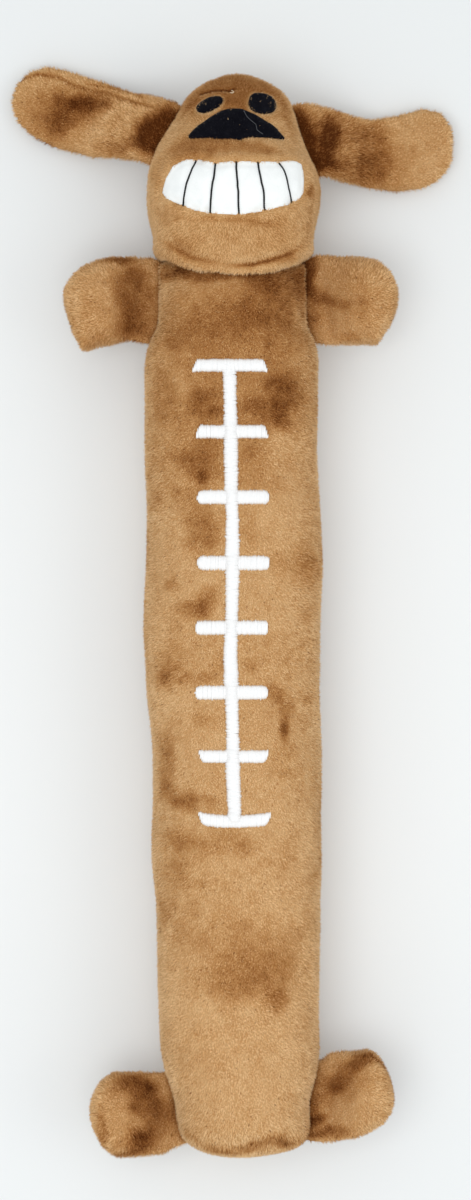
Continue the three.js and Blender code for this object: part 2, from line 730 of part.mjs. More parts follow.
function ear(name, side, length, halfWidth, rootShares, tableShares, turn) {
  const [headEndY, footEndY] = rootShares.map((share) => crownY - headLength * share);
  const place = seat(headSide, side, headEndY, footEndY, headSeamHeight, earHalfThickness);
  const holder = hingeGroup(name, place, 0);
  const drop = headSeamHeight - earHalfThickness - earFloorClearance;
  const section = superellipse(earRingPoints, earSquareness);
  const rows = [
    ...[1, 0.5, 0].map((k) => {
      const bend = rightAngle * k;
      return {
        x: -earHalfThickness * Math.sin(bend),
        y: 0,
        z: 0,
        width: (place.line.at(-1).y - place.line[0].y) / 2 * side,
        thickness: earHalfThickness * Math.cos(bend),
        turn: 0,
      };
    }),
    ...tableShares.map(([out, headward, widthShare, dropShare, thickShare, turnShare]) => ({
      x: length * out,
      y: length * headward * side,
      z: -drop * dropShare,
      width: halfWidth * widthShare,
      thickness: earHalfThickness * thickShare,
      turn: turn * turnShare * side,
    })),
  ];
  const form = (widthProud, flatness) =>
    loft(
      rows.map(({ x, y, z, width, thickness, turn: angle }, i) => {
        const ahead = rows[Math.min(i + 1, rows.length - 1)];
        const behind = rows[Math.max(i - 1, 0)];
        const slope = i < 3 ? 0 : Math.atan2(ahead.z - behind.z, ahead.x - behind.x);
        const high = flatness ?? thickness;
        const lead = i === 0 ? -widthProud : i === rows.length - 1 ? widthProud : 0;
        return section.map(([c, s]) => {
          const across = (width + widthProud) * c;
          const lift = high * s;
          return new THREE.Vector3(
            x + lead - across * Math.sin(angle) - lift * Math.sin(slope),
            y + across * Math.cos(angle),
            z + lift * Math.cos(slope),
          );
        });
      }),
    );
  const whole = form(0);
  const sheet = earSheet(rows, section);
  const [front, back] = frontAndBack(whole.subtract(sheet));
  addSolid(holder, `${name}_front_panel`, front, plush);
  addSolid(holder, `${name}_back_panel`, back, plush);
}

// A thin sheet along the middle of an ear, wider and longer than it.
function earSheet(rows, section) {
  const reach = rows.map(({ width }) => width).reduce((a, b) => Math.max(a, b)) + earSheetProud;
  const first = { ...rows[0], x: rows[0].x - earSheetProud };
  const last = { ...rows.at(-1), x: rows.at(-1).x + earSheetProud };
  const line = [first, ...rows.slice(2, -1), last];
  const corner = ({ x, y, z }, across, lift) => new THREE.Vector3(x, y + across, z + lift);
  const half = seamGap / 2;
  const rings = line.map((row) => [
    corner(row, -2 * reach, -half),
    corner(row, 2 * reach, -half),
    corner(row, 2 * reach, half),
    corner(row, -2 * reach, half),
  ]);
  return cappedLoft(rings);
}

// A loft of flat rings whose two ends are closed by a face each.
function cappedLoft(rings) {
  const centre = (ring) =>
    ring.map(() => ring.reduce((sum, p) => sum.clone().add(p), new THREE.Vector3()).divideScalar(ring.length));
  return loft([centre(rings[0]), ...rings, centre(rings.at(-1))]);
}

// A point of a line given by evenly spaced points, from its start (0) to its end (1).
function pointOn(line, share) {
  const place = share * (line.length - 1);
  const low = Math.min(Math.floor(place), line.length - 2);
  return line[low].clone().lerp(line[low + 1], place - low);
}

// The ribs of a limb or ear in its hinge's own frame: two plan points and a half thickness each. The first ones
// round the root off from the seam's line to the hinge's.
function ribsOf(place, side, tableShares, reach, halfThickness, rootRadius) {
  const rounded = Array.from({ length: limbRootSteps + 1 }, (_, k) => {
    const bend = (rightAngle * k) / limbRootSteps;
    return {
      line: place.line.map(({ x, y }) => new THREE.Vector2(x * Math.cos(bend), y)),
      thickness: rootRadius * Math.sin(bend),
    };
  });
  const table = tableShares.map(([headOut, headward, footOut, footward, thickShare]) => {
    const ends = [[footOut, footward], [headOut, headward]].map(([out, ahead]) =>
      new THREE.Vector2(side * reach * out, reach * ahead).rotateAround(new THREE.Vector2(), -place.heading),
    );
    return { line: ends, thickness: halfThickness * thickShare };
  });
  return [...rounded, ...table];
}

function limb(name, side, place, tableShares, droop) {
  const holder = hingeGroup(name, place, droop);
  const ribs = ribsOf(place, side, tableShares, limbReach, limbHalfThickness, limbRootRadius);
  const table = ribs.slice(limbRootSteps + 1);
  const plan = new THREE.Box2().setFromPoints(table.flatMap(({ line }) => line));
  const middle = plan.getCenter(new THREE.Vector2());
  const size = plan.getSize(new THREE.Vector2());
  const rings = (chosen, inset, section) => {
    const plump = (limbHalfThickness - inset) / limbHalfThickness;
    return chosen.map(({ line, thickness }) =>
      section.map(([c, s]) => {
        const point = pointOn(line, (c + 1) / 2).sub(middle);
        const x = middle.x + point.x * (1 - (2 * inset) / size.x);
        const y = middle.y + point.y * (1 - (2 * inset) / size.y);
        return new THREE.Vector3(x, y, thickness * plump * s);
      }),
    );
  };
  const core = (inset) => {
    const [near, far] = table;
    const line = near.line.map((point, end) => point.clone().lerp(far.line[end], limbCoreStartShare));
    const chosen = [{ line, thickness: 0 }, ...table.slice(1)];
    return loft(rings(chosen, inset, superellipse(limbCoreRingPoints, limbSquareness)));
  };
  const outer = loft(rings(ribs, 0, superellipse(limbRingPoints, limbSquareness)));
  const sheet = seamSheet(0, 2 * limbReach);
  const [front, back] = frontAndBack(outer.subtract(core(limbPlushThickness)).subtract(sheet));
  addSolid(holder, `${name}_front_panel`, front, plush);
  addSolid(holder, `${name}_back_panel`, back, plush);
  addSolid(holder, `${name}_stuffing`, core(limbPlushThickness + seamGap), fibrefill);
}

function limbSeat(side, seam, fromY) {
  const [headEnd, footEnd] = seam.map((place) => fromY + place);
  return seat(bodySide, side, headEnd, footEnd, bodyMidHeight, limbRootRadius);
}

body();
squeaker();
lacing();
head();
ear("left_ear", -1, leftEarLength, leftEarHalfWidth, leftEarRootShares, leftEarShares, leftEarTurn);
ear("right_ear", 1, rightEarLength, rightEarHalfWidth, rightEarRootShares, rightEarShares, rightEarTurn);

limb("left_arm", -1, limbSeat(-1, leftArmSeam, neckLineY), leftArmShares, armDroop);
limb("right_arm", 1, limbSeat(1, rightArmSeam, neckLineY), rightArmShares, armDroop);
limb("left_foot", -1, limbSeat(-1, leftFootSeam, footEndY), leftFootShares, footDroop);
limb("right_foot", 1, limbSeat(1, rightFootSeam, footEndY), rightFootShares, footDroop);

export default group;
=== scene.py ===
"""A long plush dog toy, lying on its back with the face up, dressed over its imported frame.

Sizes are in metres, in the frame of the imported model: +Y runs from the feet to the head, +Z from the back
to the face, +X to the right seen from the front. Left and right are the viewer's. Tables of places are in
millimetres.
"""

import contextlib
import itertools
import math

import bmesh
import bpy
import numpy as np
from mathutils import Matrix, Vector
from mathutils.bvhtree import BVHTree


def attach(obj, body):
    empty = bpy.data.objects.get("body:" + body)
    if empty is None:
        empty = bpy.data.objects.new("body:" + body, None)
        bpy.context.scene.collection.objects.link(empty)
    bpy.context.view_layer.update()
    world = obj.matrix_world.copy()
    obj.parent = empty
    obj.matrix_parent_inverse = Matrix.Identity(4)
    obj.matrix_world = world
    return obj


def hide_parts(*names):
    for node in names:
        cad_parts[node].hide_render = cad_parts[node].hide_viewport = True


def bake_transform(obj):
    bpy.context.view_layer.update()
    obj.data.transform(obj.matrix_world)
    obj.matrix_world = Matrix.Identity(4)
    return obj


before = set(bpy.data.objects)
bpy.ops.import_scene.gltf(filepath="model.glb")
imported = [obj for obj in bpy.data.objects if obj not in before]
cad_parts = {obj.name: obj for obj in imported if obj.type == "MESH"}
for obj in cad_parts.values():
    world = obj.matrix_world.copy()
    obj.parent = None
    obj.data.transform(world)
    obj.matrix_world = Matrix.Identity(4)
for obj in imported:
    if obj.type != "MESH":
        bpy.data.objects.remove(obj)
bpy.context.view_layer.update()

MM = 0.001
# nearly straight up, so that a ray never runs along an upright face
SKYWARD = Vector((0.05, 0.03, 1)).normalized()

# The stuffed body and head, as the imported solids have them
BODY_MIDDLE_Z = 21.75 * MM
NECK_LINE_Y = 107.5 * MM
CHIN_END_Y = 117.1 * MM
NECK_MIDDLE_X, NECK_HALF_WIDTH, NECK_RADIUS = -0.8 * MM, 21 * MM, 21.75 * MM
HEAD_SEAM_Z = 20 * MM
FACE_MIN_Z = 30 * MM
REST_Z = 0.15 * MM
# the body's round end: its own profile, and how far from the neck's line its corners are filled out and
# over what length that fades, as shares of its radius
NECK_PROFILE = 2.4
CORNER_REACH, CORNER_FADE = 0.63, 0.06
# how far the chin's lower edge is drawn up or down, against the distance from the toy's middle line, in mm
CHIN_RIM_PLACES = (0, 4, 8, 12, 15, 17.5, 20, 22)
CHIN_RIM_SHIFTS = (-1.3, -1.4, -2.0, -1.8, -1.0, -0.2, 1.0, 1.8)
# the jaw's middle height and reach, and how far it is drawn out
JAW_Y, JAW_REACH, JAW_OUTSET = 119 * MM, 5.5 * MM, 2.4 * MM
# from where the crown is drawn up and how far, and up to where the chin's lower edge is drawn, in mm
CROWN_START_Y, CROWN_RISE, CHIN_RIM_END_Y = 165, 0.6, 127
# depth of the crease over the chin, height of the welt below it and of the lip round the teeth, and how deep
# the nose and the eyes lie, in mm
CREASE_DEPTH, WELT_HEIGHT, LIP_HEIGHT, FELT_SINK = 1.2, 0.6, 0.5, 0.35

# Plush: the cloth lies this far inside the solids, and the pile stands out of it
CLOTH_INSET = 0.5 * MM
LIMB_OUTSET = 0.25 * MM
FILLING_REACH = 1.1 * MM
PILE_LENGTH, LIMB_PILE_LENGTH, HEAD_PILE_LENGTH, FELT_FIBRE_LENGTH = 0.92 * MM, 1.0 * MM, 0.8 * MM, 0.6 * MM
PILE_WIDTH, FELT_FIBRE_WIDTH = 0.14 * MM, 0.09 * MM
PILE_SINK = 0.25 * MM
PILE_FLOOR = 0.04 * MM
PILE_PER_MM2, BACK_PILE_PER_MM2, FELT_FIBRES_PER_MM2 = 6.0, 4.0, 7.0
PILE_LEAN, FELT_FIBRE_LEAN = 40.0, 58.0
NAP_SOFTNESS = 0.62
# beside the lacing and the face's patches: how far this share of the tufts lean over the edge
EDGE_PILE_REACH, EDGE_PILE_SHARE = 0.55 * MM, 0.6
# how tufts vary: in their turn in radians, their lean in degrees, and their lengths and girths as shares
TUFT_TURN, TUFT_LEAN, TUFT_LENGTHS, TUFT_GIRTHS = 0.55, 13, (0.72, 1.22), (0.75, 1.25)
# how much the pile's darkness, nap and painted shade alike, turns them aside in radians, and raises them in
# degrees
NAP_TURN, NAP_RAISE = 0.9, 14
# where the pile of the body's front and back is cut into pieces, in mm
CHEST_PILE_END_Y, WAIST_PILE_END_Y, UPPER_BACK_PILE_END_Y = 32, -48, -8

# Seams: how far from its middle a seam can reach, and pile can be hidden in the other part
SEAM_REACH = 18 * MM
HIDDEN_REACH = 17 * MM
# depths, in mm, and half width of the seams round the body, the head, and the ears and limbs
BODY_SEAM_DEPTH, HEAD_SEAM_DEPTH, LIMB_SEAM_DEPTH = 0.55, 0.6, 0.3
SEAM_HALF_WIDTH = 0.9 * MM
# where parts are sewn together: how deep the seam pinches, as a share of the height, how far the sewn-on part
# runs into the other and how far along the seam its widening grows, in mm
SEAM_PINCH, ROOT_DEPTH, ROOT_HALF_LENGTH = 0.13, 2.6, 9
# how far a seam's shade and the one beside it reach, how deep it sinks in mm, and how dark the painted shade
# is in the seam, in the crease over the chin, and beside the seam on the body and on the other parts
SEAM_SHADE_REACH, BESIDE_SEAM_REACH = 1.1 * MM, 4 * MM
SEAM_SINK, SEAM_PAINTED_SHADE, CREASE_PAINTED_SHADE = 0.35, 0.45, 0.62
BESIDE_SEAM_PAINTED_SHADE, BESIDE_LIMB_SEAM_PAINTED_SHADE = 0.4, 0.14

# Table, light and camera
TABLE_GLOW = 0.06
ROOM_LIGHT = 0.84
# how far the pool of light painted on the table reaches, in metres
TABLE_LIGHT_POOL_REACH = 0.45
CAMERA_PLACE = (0, 0.0271, 1.0)
SENSOR_WIDTH = 36
# the picture's width at one metre
VIEW_WIDTH = 0.3444

# Where the pile lies the other way and looks dark, and where shade is painted into it: x, y, half sizes
# across and along, turn in degrees, depth
NAP_AND_SHADE_PATCHES = {
    "body": [
        # wide soft shades
        (0, 102, 25, 12, 0, 0.42), (0, 84, 24, 11, 0, 0.4), (-3, 69, 20, 10, 0, 0.28),
        (-8, 52, 10, 12, 0, 0.2), (1.2, -70.3, 16, 9, 0, 0.3), (4.3, -75, 9.5, 6.5, 0, 0.35),
        (20, 45, 3.5, 45, 0, 0.13),
        # under the chin: partly nap, partly the chin's shadow painted into the pile
        (-16.5, 119, 5, 2.8, -10, 0.85), (16.5, 118.8, 5, 2.8, 10, 0.6), (12.5, 116, 9.5, 3.6, 8, 0.8),
        (20, 115.5, 3.6, 5, 0, 0.85), (-12, 117.6, 8, 1.8, -6, 0.55), (-1, 116.4, 9, 1.6, 0, 0.65),
        (8, 110, 8, 5, 0, 0.4), (0, 104, 10, 4, 0, 0.45), (12, 107, 5, 6, 8, 0.45),
        (15.5, 110.5, 3.5, 3.5, 0, 0.4), (-12.5, 99.5, 5, 3, 0, 0.25), (0, 99.5, 19, 4.5, 0, 0.2),
        # beside the lacing, from the top down
        (12.5, 87.5, 3.4, 3.6, 0, 0.65), (9.7, 79.2, 5.6, 3.8, -10, 0.7), (14.1, 82, 2.8, 5, 0, 0.55),
        (13.9, 76, 2, 3, 20, 0.55), (18, 82, 1.8, 4, 0, 0.35), (-9.5, 81, 3.6, 5, -20, 0.5),
        (-10.5, 84, 2.5, 2, -40, 0.35), (-6.2, 78.5, 2.5, 1.6, 0, 0.4), (-19.3, 81.2, 3.5, 6, 0, 0.28),
        (-9.2, 65, 4.4, 5.4, 0, 0.5), (-9.7, 61.5, 1.9, 2, 0, 0.7), (5.4, 63.6, 4, 8, 0, 0.25),
        (-15, 66, 3.6, 1.6, 0, 0.3), (11, 59, 2.8, 1.8, 0, 0.25), (-22.8, 62, 1.5, 3.6, -10, 0.4),
        (-23, 55, 1.4, 2.8, 0, 0.4), (-10.8, 53.5, 3, 6, 0, 0.32), (-9, 45, 4.2, 5, 15, 0.5),
        (-6.5, 41.8, 2, 1.5, 0, 0.3), (-18, 57, 3, 2, 0, 0.25), (4, 46.5, 2.4, 4.6, 0, 0.28),
        (20.2, 36, 3.4, 3.8, 0, 0.5), (14.4, 38, 4, 3, 0, 0.22), (-17.4, 31, 2.2, 2.8, -15, 0.45),
        (-10.6, 25.6, 5.5, 2.2, 8, 0.6), (-6.8, 28, 2.4, 3.6, -30, 0.6), (20.4, 25, 3, 2.4, 0, 0.28),
        (-18, 8.4, 4.4, 6.2, 0, 0.5), (-19, 6, 2, 3, 0, 0.3), (-11, 6.5, 5, 2.4, 0, 0.35),
        (-6.2, 9.5, 2.2, 3.3, 0, 0.2), (4.3, 8, 2.8, 2.4, 0, 0.3), (10.8, 1.5, 3, 1.9, -45, 0.45),
        (13.3, -5.5, 1.9, 6, 0, 0.5), (13.3, -8, 1.2, 2.8, 0, 0.45), (19, 1, 2.6, 2.2, 0, 0.25),
        (-7.8, -6.5, 3.3, 2.6, -25, 0.35), (-19.4, -19, 2, 8, 0, 0.45), (-16.5, -25, 2.4, 4, 28, 0.45),
        (-12.5, -28.6, 4, 2.2, 0, 0.65), (-6, -29.2, 2.4, 1.6, 0, 0.35), (14.4, -19.6, 4.4, 1.5, 0, 0.2),
        # belly
        (-5.4, -39.3, 12, 2.8, 0, 0.28), (-15.2, -39.8, 3.2, 2.8, 0, 0.32), (2.3, -41.6, 2.6, 2.2, 0, 0.3),
        (14.4, -41.6, 1.8, 5.4, 0, 0.25), (-16.3, -47.8, 3.6, 5, 0, 0.32), (-9.8, -49.8, 3.3, 1.5, 0, 0.2),
        (9.5, -46.2, 3.8, 1.5, 0, 0.2), (20, -50, 2.5, 3, 0, 0.25), (-19.3, -59.3, 2.8, 6, 0, 0.3),
        (-13, -60, 3, 5, 0, 0.15), (18.5, -62, 2, 4.2, 0, 0.2), (10.8, -82.6, 3.8, 3.4, 0, 0.55),
        (6.5, -77.5, 5, 3.6, 0, 0.25), (-3, -78.5, 6, 4, 0, 0.2), (-11, -68, 4, 4, 0, 0.15),
        (-12.5, -120.7, 2.6, 1.6, 0, 0.35), (-3.7, -123.7, 4, 1.4, 0, 0.45), (5, -122.8, 12, 1.6, 0, 0.5),
        (13.3, -121.2, 4.2, 2.4, 0, 0.45),
    ],
    "head": [
        # crown and brow: partly nap, partly painted shade where the crown curves away from the light
        (0, 167, 17, 6.5, 0, 0.55), (0, 171, 14, 4, 0, 0.25), (0.7, 163, 5, 4, 0, 0.4),
        (-13.5, 163.5, 4, 4, 30, 0.35), (15.4, 161, 2.4, 5.5, 20, 0.3),
        # lip and cheeks
        (-6.4, 150, 8.2, 2.2, 0, 0.5), (7.5, 150, 4.2, 2.2, 0, 0.5), (2, 149.8, 1.6, 2.2, 0, 0.3),
        (-15, 149.8, 3.4, 2.2, 20, 0.3), (-21, 143.8, 1.4, 6, -12, 0.35), (20.6, 140, 1.4, 2.6, 0, 0.7),
        # chin: partly nap, partly painted shade in the crease over the chin and under the lip
        (-17.8, 133, 3.4, 2.2, -10, 0.2), (12, 132.3, 6, 1.4, 15, 0.2), (-1, 131, 16, 0.9, 0, 0.25),
        (-14.5, 124, 4.5, 1.8, -28, 0.35), (14, 121, 5, 1.4, 12, 0.4), (0, 126, 18, 6, 0, 0.13),
    ],
    "left_ear": [
        # at the root the patches are partly nap, partly painted shade where the ear runs in under the head
        (-25.2, 157.8, 5, 5.4, -15, 1), (-19.8, 162.3, 3.4, 3, 20, 0.75), (-24.5, 155, 3.5, 3, 0, 0.6),
        (-48.5, 167, 9, 5.4, 0, 0.55), (-41, 168.2, 5.5, 2.6, -5, 0.55), (-51, 163.5, 5, 4, 0, 0.3),
        (-33, 155, 6, 2.5, 0, 0.3),
    ],
    "right_ear": [
        # at the root the patches are partly nap, partly painted shade where the ear runs in under the head
        (19.8, 157.3, 2.6, 8, 6, 0.95), (27.6, 157.6, 3.2, 5.4, -6, 0.9), (24.6, 150.5, 5, 2.6, 0, 0.7),
        (23.6, 157, 2.4, 7, 0, 0.45), (36.4, 153.6, 10, 8, 0, 0.38), (32.5, 148.8, 9, 3.6, 0, 0.35),
        (42, 150.8, 5, 4.5, 0, 0.2), (37.5, 160, 6, 3, 0, 0.2),
    ],
    "left_arm": [
        (-33, 121.8, 5, 1.4, 0, 0.8), (-29.3, 110.5, 4.2, 8.5, 0, 0.62), (-28.8, 108.5, 2, 4, 0, 0.35),
        (-26.6, 117.5, 2.6, 2.6, 0, 0.5), (-28.5, 103, 4.6, 2.6, 0, 0.45), (-24, 109, 2.4, 7, 0, 0.4),
        (-40.5, 110, 3, 4, 0, 0.12),
    ],
    "right_arm": [
        # the first patch, under the chin's corner, is partly the chin's shadow painted into the pile
        (20.8, 118.5, 2.8, 4.6, 0, 0.95), (23, 113.2, 4.2, 2, -8, 0.6), (28.3, 111.4, 3, 1.4, -5, 0.45),
        (34.3, 108.8, 2.2, 3, 0, 0.25), (21, 109, 2.4, 3.4, 0, 0.4), (33, 100.8, 4, 1.4, 0, 0.25),
    ],
    "left_foot": [
        (-29.5, -109.3, 6.2, 2.3, -8, 0.75), (-25.5, -111.5, 2.6, 2, 0, 0.4),
        (-24.5, -113.5, 5, 2.6, 0, 0.5), (-20, -118.5, 3.5, 4.6, 0, 0.55), (-26, -123.5, 4, 3.6, 0, 0.7),
        (-24.7, -122, 2, 1.4, 0, 0.45), (-38, -119, 1.7, 5, 10, 0.45), (-30.5, -127.3, 5.4, 1.6, 3, 0.55),
    ],
    "right_foot": [
        (33.5, -102.6, 3.6, 2, 35, 0.8), (28.5, -107.8, 3, 2.6, 30, 0.65), (27, -109, 6.5, 5, 20, 0.4),
        (21.5, -116.5, 1.9, 6, 0, 0.5), (23.5, -118, 3, 1.7, 0, 0.7), (26.5, -121.8, 6, 1.4, 0, 0.65),
    ],
}
# how far soft clouds and finer ones shift a patch's edge, in mm, and where it ends and over what it
# fades, as shares of its half sizes
PATCH_WARP, PATCH_FRAY = 4.4, 1.3
PATCH_END, PATCH_FADE = 1.65, 1.3

# Thin folds and seam lines in the pile, with shade painted in their grooves: points, groove depth, half
# width, and how dark the painted shade is
FOLDS = {
    "left_ear": [
        ([(-61.3, 175.6), (-56.4, 177.2), (-50, 176.2), (-46.5, 174), (-41.7, 172.5), (-36, 171.2),
          (-32, 169.2), (-27.2, 167.2), (-22, 165.3)], 0.3, 0.75, 0.42),
        ([(-42.3, 174.3), (-35.6, 172.9), (-29.4, 170.8), (-26.1, 168.9)], 0.2, 0.6, 0.28),
    ],
    "right_foot": [([(37.6, -100.2), (41, -102.8), (43.2, -106.6), (44.1, -109.6)], 0.35, 0.4, 0.75)],
    "head": [
        ([(-9.7, 167.4), (-7.9, 167.8), (-5.7, 168.2), (-3.7, 168.1), (-1.7, 168), (-0.2, 168.5)],
         0.75, 0.55, 0.85),
    ],
}

# Colours of the pile, from brushed up to brushed down, as linear values
PILE_SHADES = [
    (0.815, 0.555, 0.300),
    (0.745, 0.475, 0.235),
    (0.660, 0.390, 0.172),
    (0.560, 0.300, 0.116),
    (0.450, 0.215, 0.075),
    (0.340, 0.145, 0.044),
    (0.225, 0.080, 0.021),
    (0.115, 0.034, 0.007),
]
# how much darker and redder the cloth between the tufts is than the tufts: painted shade, as the deep warm
# shade down among them
GROUND_SHADE_TINT = (0.68, 0.61, 0.52)
PILE_SHEEN, PILE_SHEEN_TINT = 0.7, (1.0, 0.77, 0.52)

# The parts of the toy: the cell of each part's remesh in mm, and its nodes, with its two panels first
PARTS = {
    "body": (1.8, ["body_front_panel", "body_back_panel", "body_stuffing_front", "body_stuffing_back"]),
    "head": (1.1, ["head_face_panel", "head_back_panel", "head_stuffing", "teeth_panel"]),
}
EARS = ("left_ear", "right_ear")
LIMBS = ("left_arm", "right_arm", "left_foot", "right_foot")
for ear in EARS:
    PARTS[ear] = (0.8, [f"{ear}_front_panel", f"{ear}_back_panel"])
for limb in LIMBS:
    PARTS[limb] = (0.9, [f"{limb}_front_panel", f"{limb}_back_panel", f"{limb}_stuffing"])
# sewn-on part: what it is sewn to, middle of its seam, and the way it stands out, in mm
SEAMS = {
    "left_ear": ("head", (-21.4, 161.0, 20.0), (-0.877, 0.481, 0)),
    "right_ear": ("head", (21.9, 158.2, 20.0), (0.943, 0.332, 0)),
    "left_arm": ("body", (-25.1, 108.8, 21.75), (-0.970, 0.243, 0)),
    "right_arm": ("body", (23.2, 109.1, 21.75), (0.974, 0.227, 0)),
    "left_foot": ("body", (-20.0, -116.1, 21.75), (-0.961, -0.278, 0)),
    "right_foot": ("body", (24.9, -114.0, 21.75), (0.989, -0.150, 0)),
}
# sewn-on part: how much it widens at its seam, on its head and its foot side, and over what length, in mm
ROOT_WIDENING = {
    "left_ear": (-1.6, 2.5, 9),
    "right_ear": (-0.7, 1.7, 14),
    "left_arm": (3.6, -0.6, 5.5),
    "right_arm": (3.5, 0.0, 5.5),
    "left_foot": (0.2, 1.2, 7),
    "right_foot": (1.8, 1.1, 6),
}
# where an outline is drawn out or in: x, y, how far across and along, reach, in mm
PULLS = {
    "left_ear": [(-62, 163, 0.9, 0.3, 8)],
    "left_arm": [(-41.8, 98.8, -0.7, -1.1, 2.6), (-29, 99.5, 0, 0.6, 3)],
    "right_arm": [(40.2, 98.8, 0.5, -0.9, 2.6)],
    "left_foot": [(-34.7, -129, -0.4, -0.7, 4)],
    "right_foot": [(40, -101, 0.6, 0.5, 4)],
    "body": [(12, -130, 0, 0.7, 8), (-19.5, -121.5, -1.5, 0, 6)],
}
# part: darkness of its pile everywhere, how much soft clouds change it, and how dark its patches are
NAP_BASE = {
    "body": (0.09, 0.24, 0.66),
    "head": (0.16, 0.14, 0.7),
    "left_ear": (0.22, 0.2, 0.86),
    "right_ear": (0.2, 0.2, 0.86),
    "left_arm": (0.25, 0.22, 0.6),
    "right_arm": (0.24, 0.22, 0.6),
    "left_foot": (0.27, 0.22, 0.66),
    "right_foot": (0.17, 0.22, 0.66),
}
# the plush while the filling presses it out
PLUSH_CLOTH = {
    "use_pressure": True, "uniform_pressure_force": 4, "mass": 0.05, "quality": 4,
    "tension_stiffness": 12, "compression_stiffness": 12, "shear_stiffness": 6, "bending_stiffness": 0.4,
}
FILLING_STEPS = 20

# The face, in mm
CHIN_CREASE = [
    (-23.5, 129.5), (-20.3, 126.8), (-16.7, 124.0), (-12.4, 121.4), (-8.2, 120.4), (-3.6, 119.4),
    (0.3, 119.0), (4.8, 119.3), (9.4, 120.4), (12.7, 121.6), (15.7, 122.9), (19.3, 125.2), (22.5, 128.5),
]
TEETH_CENTRE, TEETH_HALF = (-0.72, 139.3), (19.25, 7.75)
TEETH_SHARES = [
    (-1.0, -0.08), (-0.93, -0.34), (-0.72, -0.62), (-0.55, -0.8), (-0.33, -0.93), (0.08, -1.0),
    (0.45, -0.84), (0.76, -0.6), (0.94, -0.34), (1.0, -0.06), (1.01, 0.5), (0.97, 0.94), (0.85, 1.04),
    (0.58, 0.92), (0.3, 0.88), (0.02, 0.9), (-0.24, 0.84), (-0.5, 1.0), (-0.66, 1.0), (-0.84, 0.82),
    (-0.95, 0.36),
]
# tooth lines from top to bottom, as shares of the tooth panel's half sizes
TOOTH_LINES = [
    [(-0.52, 0.95), (-0.62, 0.35), (-0.67, -0.05), (-0.705, -0.66)],
    [(-0.245, 0.82), (-0.265, 0.35), (-0.30, -0.15), (-0.32, -0.92)],
    [(0.045, 0.90), (0.055, 0.35), (0.075, -0.2), (0.085, -0.97)],
    [(0.355, 0.88), (0.38, 0.4), (0.43, -0.2), (0.45, -0.82)],
    [(0.655, 0.90), (0.74, 0.52), (0.785, 0.1), (0.83, -0.5)],
]
NOSE_OUTLINE = [
    (1.4, 161.9), (-2.0, 162.0), (-5.3, 160.6), (-8.3, 158.4), (-10.7, 156.6), (-13.0, 153.9),
    (-12.4, 153.2), (-8.0, 153.0), (-4.8, 152.7), (-0.6, 152.6), (1.2, 152.3), (3.2, 153.1), (8.9, 153.3),
    (13.0, 153.3), (13.4, 153.9), (12.0, 155.5), (10.5, 157.2), (8.0, 158.7), (5.6, 160.2), (3.2, 161.3),
]
BROW_THREAD = [(-1.2, 168.1), (-0.7, 167.9), (-0.5, 167.4), (-0.9, 167.0), (-1.4, 167.3)]
NOSE_THREAD = [
    (2.3, 161.3), (3.1, 159.6), (4.2, 158.4), (5.6, 157.2), (5.9, 155.5), (6.7, 154.9), (7.5, 154.4),
]
# the black thread on the teeth: length of one twist, its plies' distance from its middle, and their radius
STITCH_TWIST, STITCH_PLY_OFFSET, STITCH_PLY_RADIUS = 1.15 * MM, 0.15 * MM, 0.155 * MM
# each eye's middle (x, y), half sizes and turn in degrees
EYES = {"left_eye": (-7.1, 163.6, 3.9, 2.2, 24), "right_eye": (7.25, 163.9, 3.85, 3.35, -17)}

# The white lacing, in mm
# how far apart its stitches lie, how thick they are, and how high they stand and how deep they end
LACE_PITCH = 0.36
LACE_THREAD_RADIUS = 0.225 * MM
LACE_BAR_RISE, LACE_SINK = 0.95, 0.25
# how far it draws in the plush
LACING_PULL = 0.45
LACE_SPINE_WIDTH, LACE_SPINE_RISE, LACE_OVER_BAR = 3.55, 1.15, 0.6
# each bar's middle (x, y), length, width, how much shorter its head side is at each end, roundness, sag
LACE_BARS = [
    (-1.6, 91.6, 21.0, 3.35, 1.3, 0.3, 0.0),
    (-1.0, 73.4, 20.2, 3.55, 1.0, 0.4, 0.0),
    (-0.7, 55.4, 19.8, 3.75, 0.1, 1.2, 0.0),
    (-0.55, 37.3, 19.9, 3.85, 0.0, 1.3, 0.0),
    (-1.0, 19.5, 19.8, 3.8, 0.0, 0.6, 0.0),
    (-1.1, 1.7, 20.2, 3.75, 0.2, 1.2, 0.0),
    (-0.5, -15.9, 19.8, 3.35, -1.2, 0.5, 0.0),
    (-0.2, -33.3, 20.6, 3.35, -1.4, 0.5, 0.45),
]
# the long column's middle line: y, x
LACE_SPINE_LINE = [
    (-35, -0.3), (-29, -0.4), (-21, -0.75), (-12, -0.8), (-3, -1.0), (5, -1.2), (12, -1.45), (24, -1.05),
    (33, -0.9), (49, -0.9), (58, -1.2), (68, -1.3), (82, -1.5), (91, -1.8),
]
SPINE_TOP_Y, SPINE_END_Y = 90.2, -34.2


# Small helpers


def points_of(piece, what="co"):
    """The places of a piece's vertices, one row each."""
    found = np.empty(len(piece.data.vertices) * 3)
    piece.data.vertices.foreach_get(what, found)
    return found.reshape(-1, 3)


def normals_of(piece):
    return points_of(piece, "normal")


def set_points(piece, points):
    piece.data.vertices.foreach_set("co", np.ascontiguousarray(points, dtype=np.float32).ravel())
    piece.data.update()


def unit(vectors):
    return vectors / np.maximum(np.linalg.norm(vectors, axis=-1, keepdims=True), 1e-12)


def near(distance, width):
    """1 at no distance, falling off softly over the width."""
    return np.exp(-((distance / width) ** 2))


def new_object(name, data):
    made = bpy.data.objects.new(name, data)
    bpy.context.scene.collection.objects.link(made)
    return made


def new_piece(name, points, faces):
    mesh = bpy.data.meshes.new(name)
    mesh.from_pydata([tuple(p) for p in points], [], faces)
    mesh.update()
    return new_object(name, mesh)


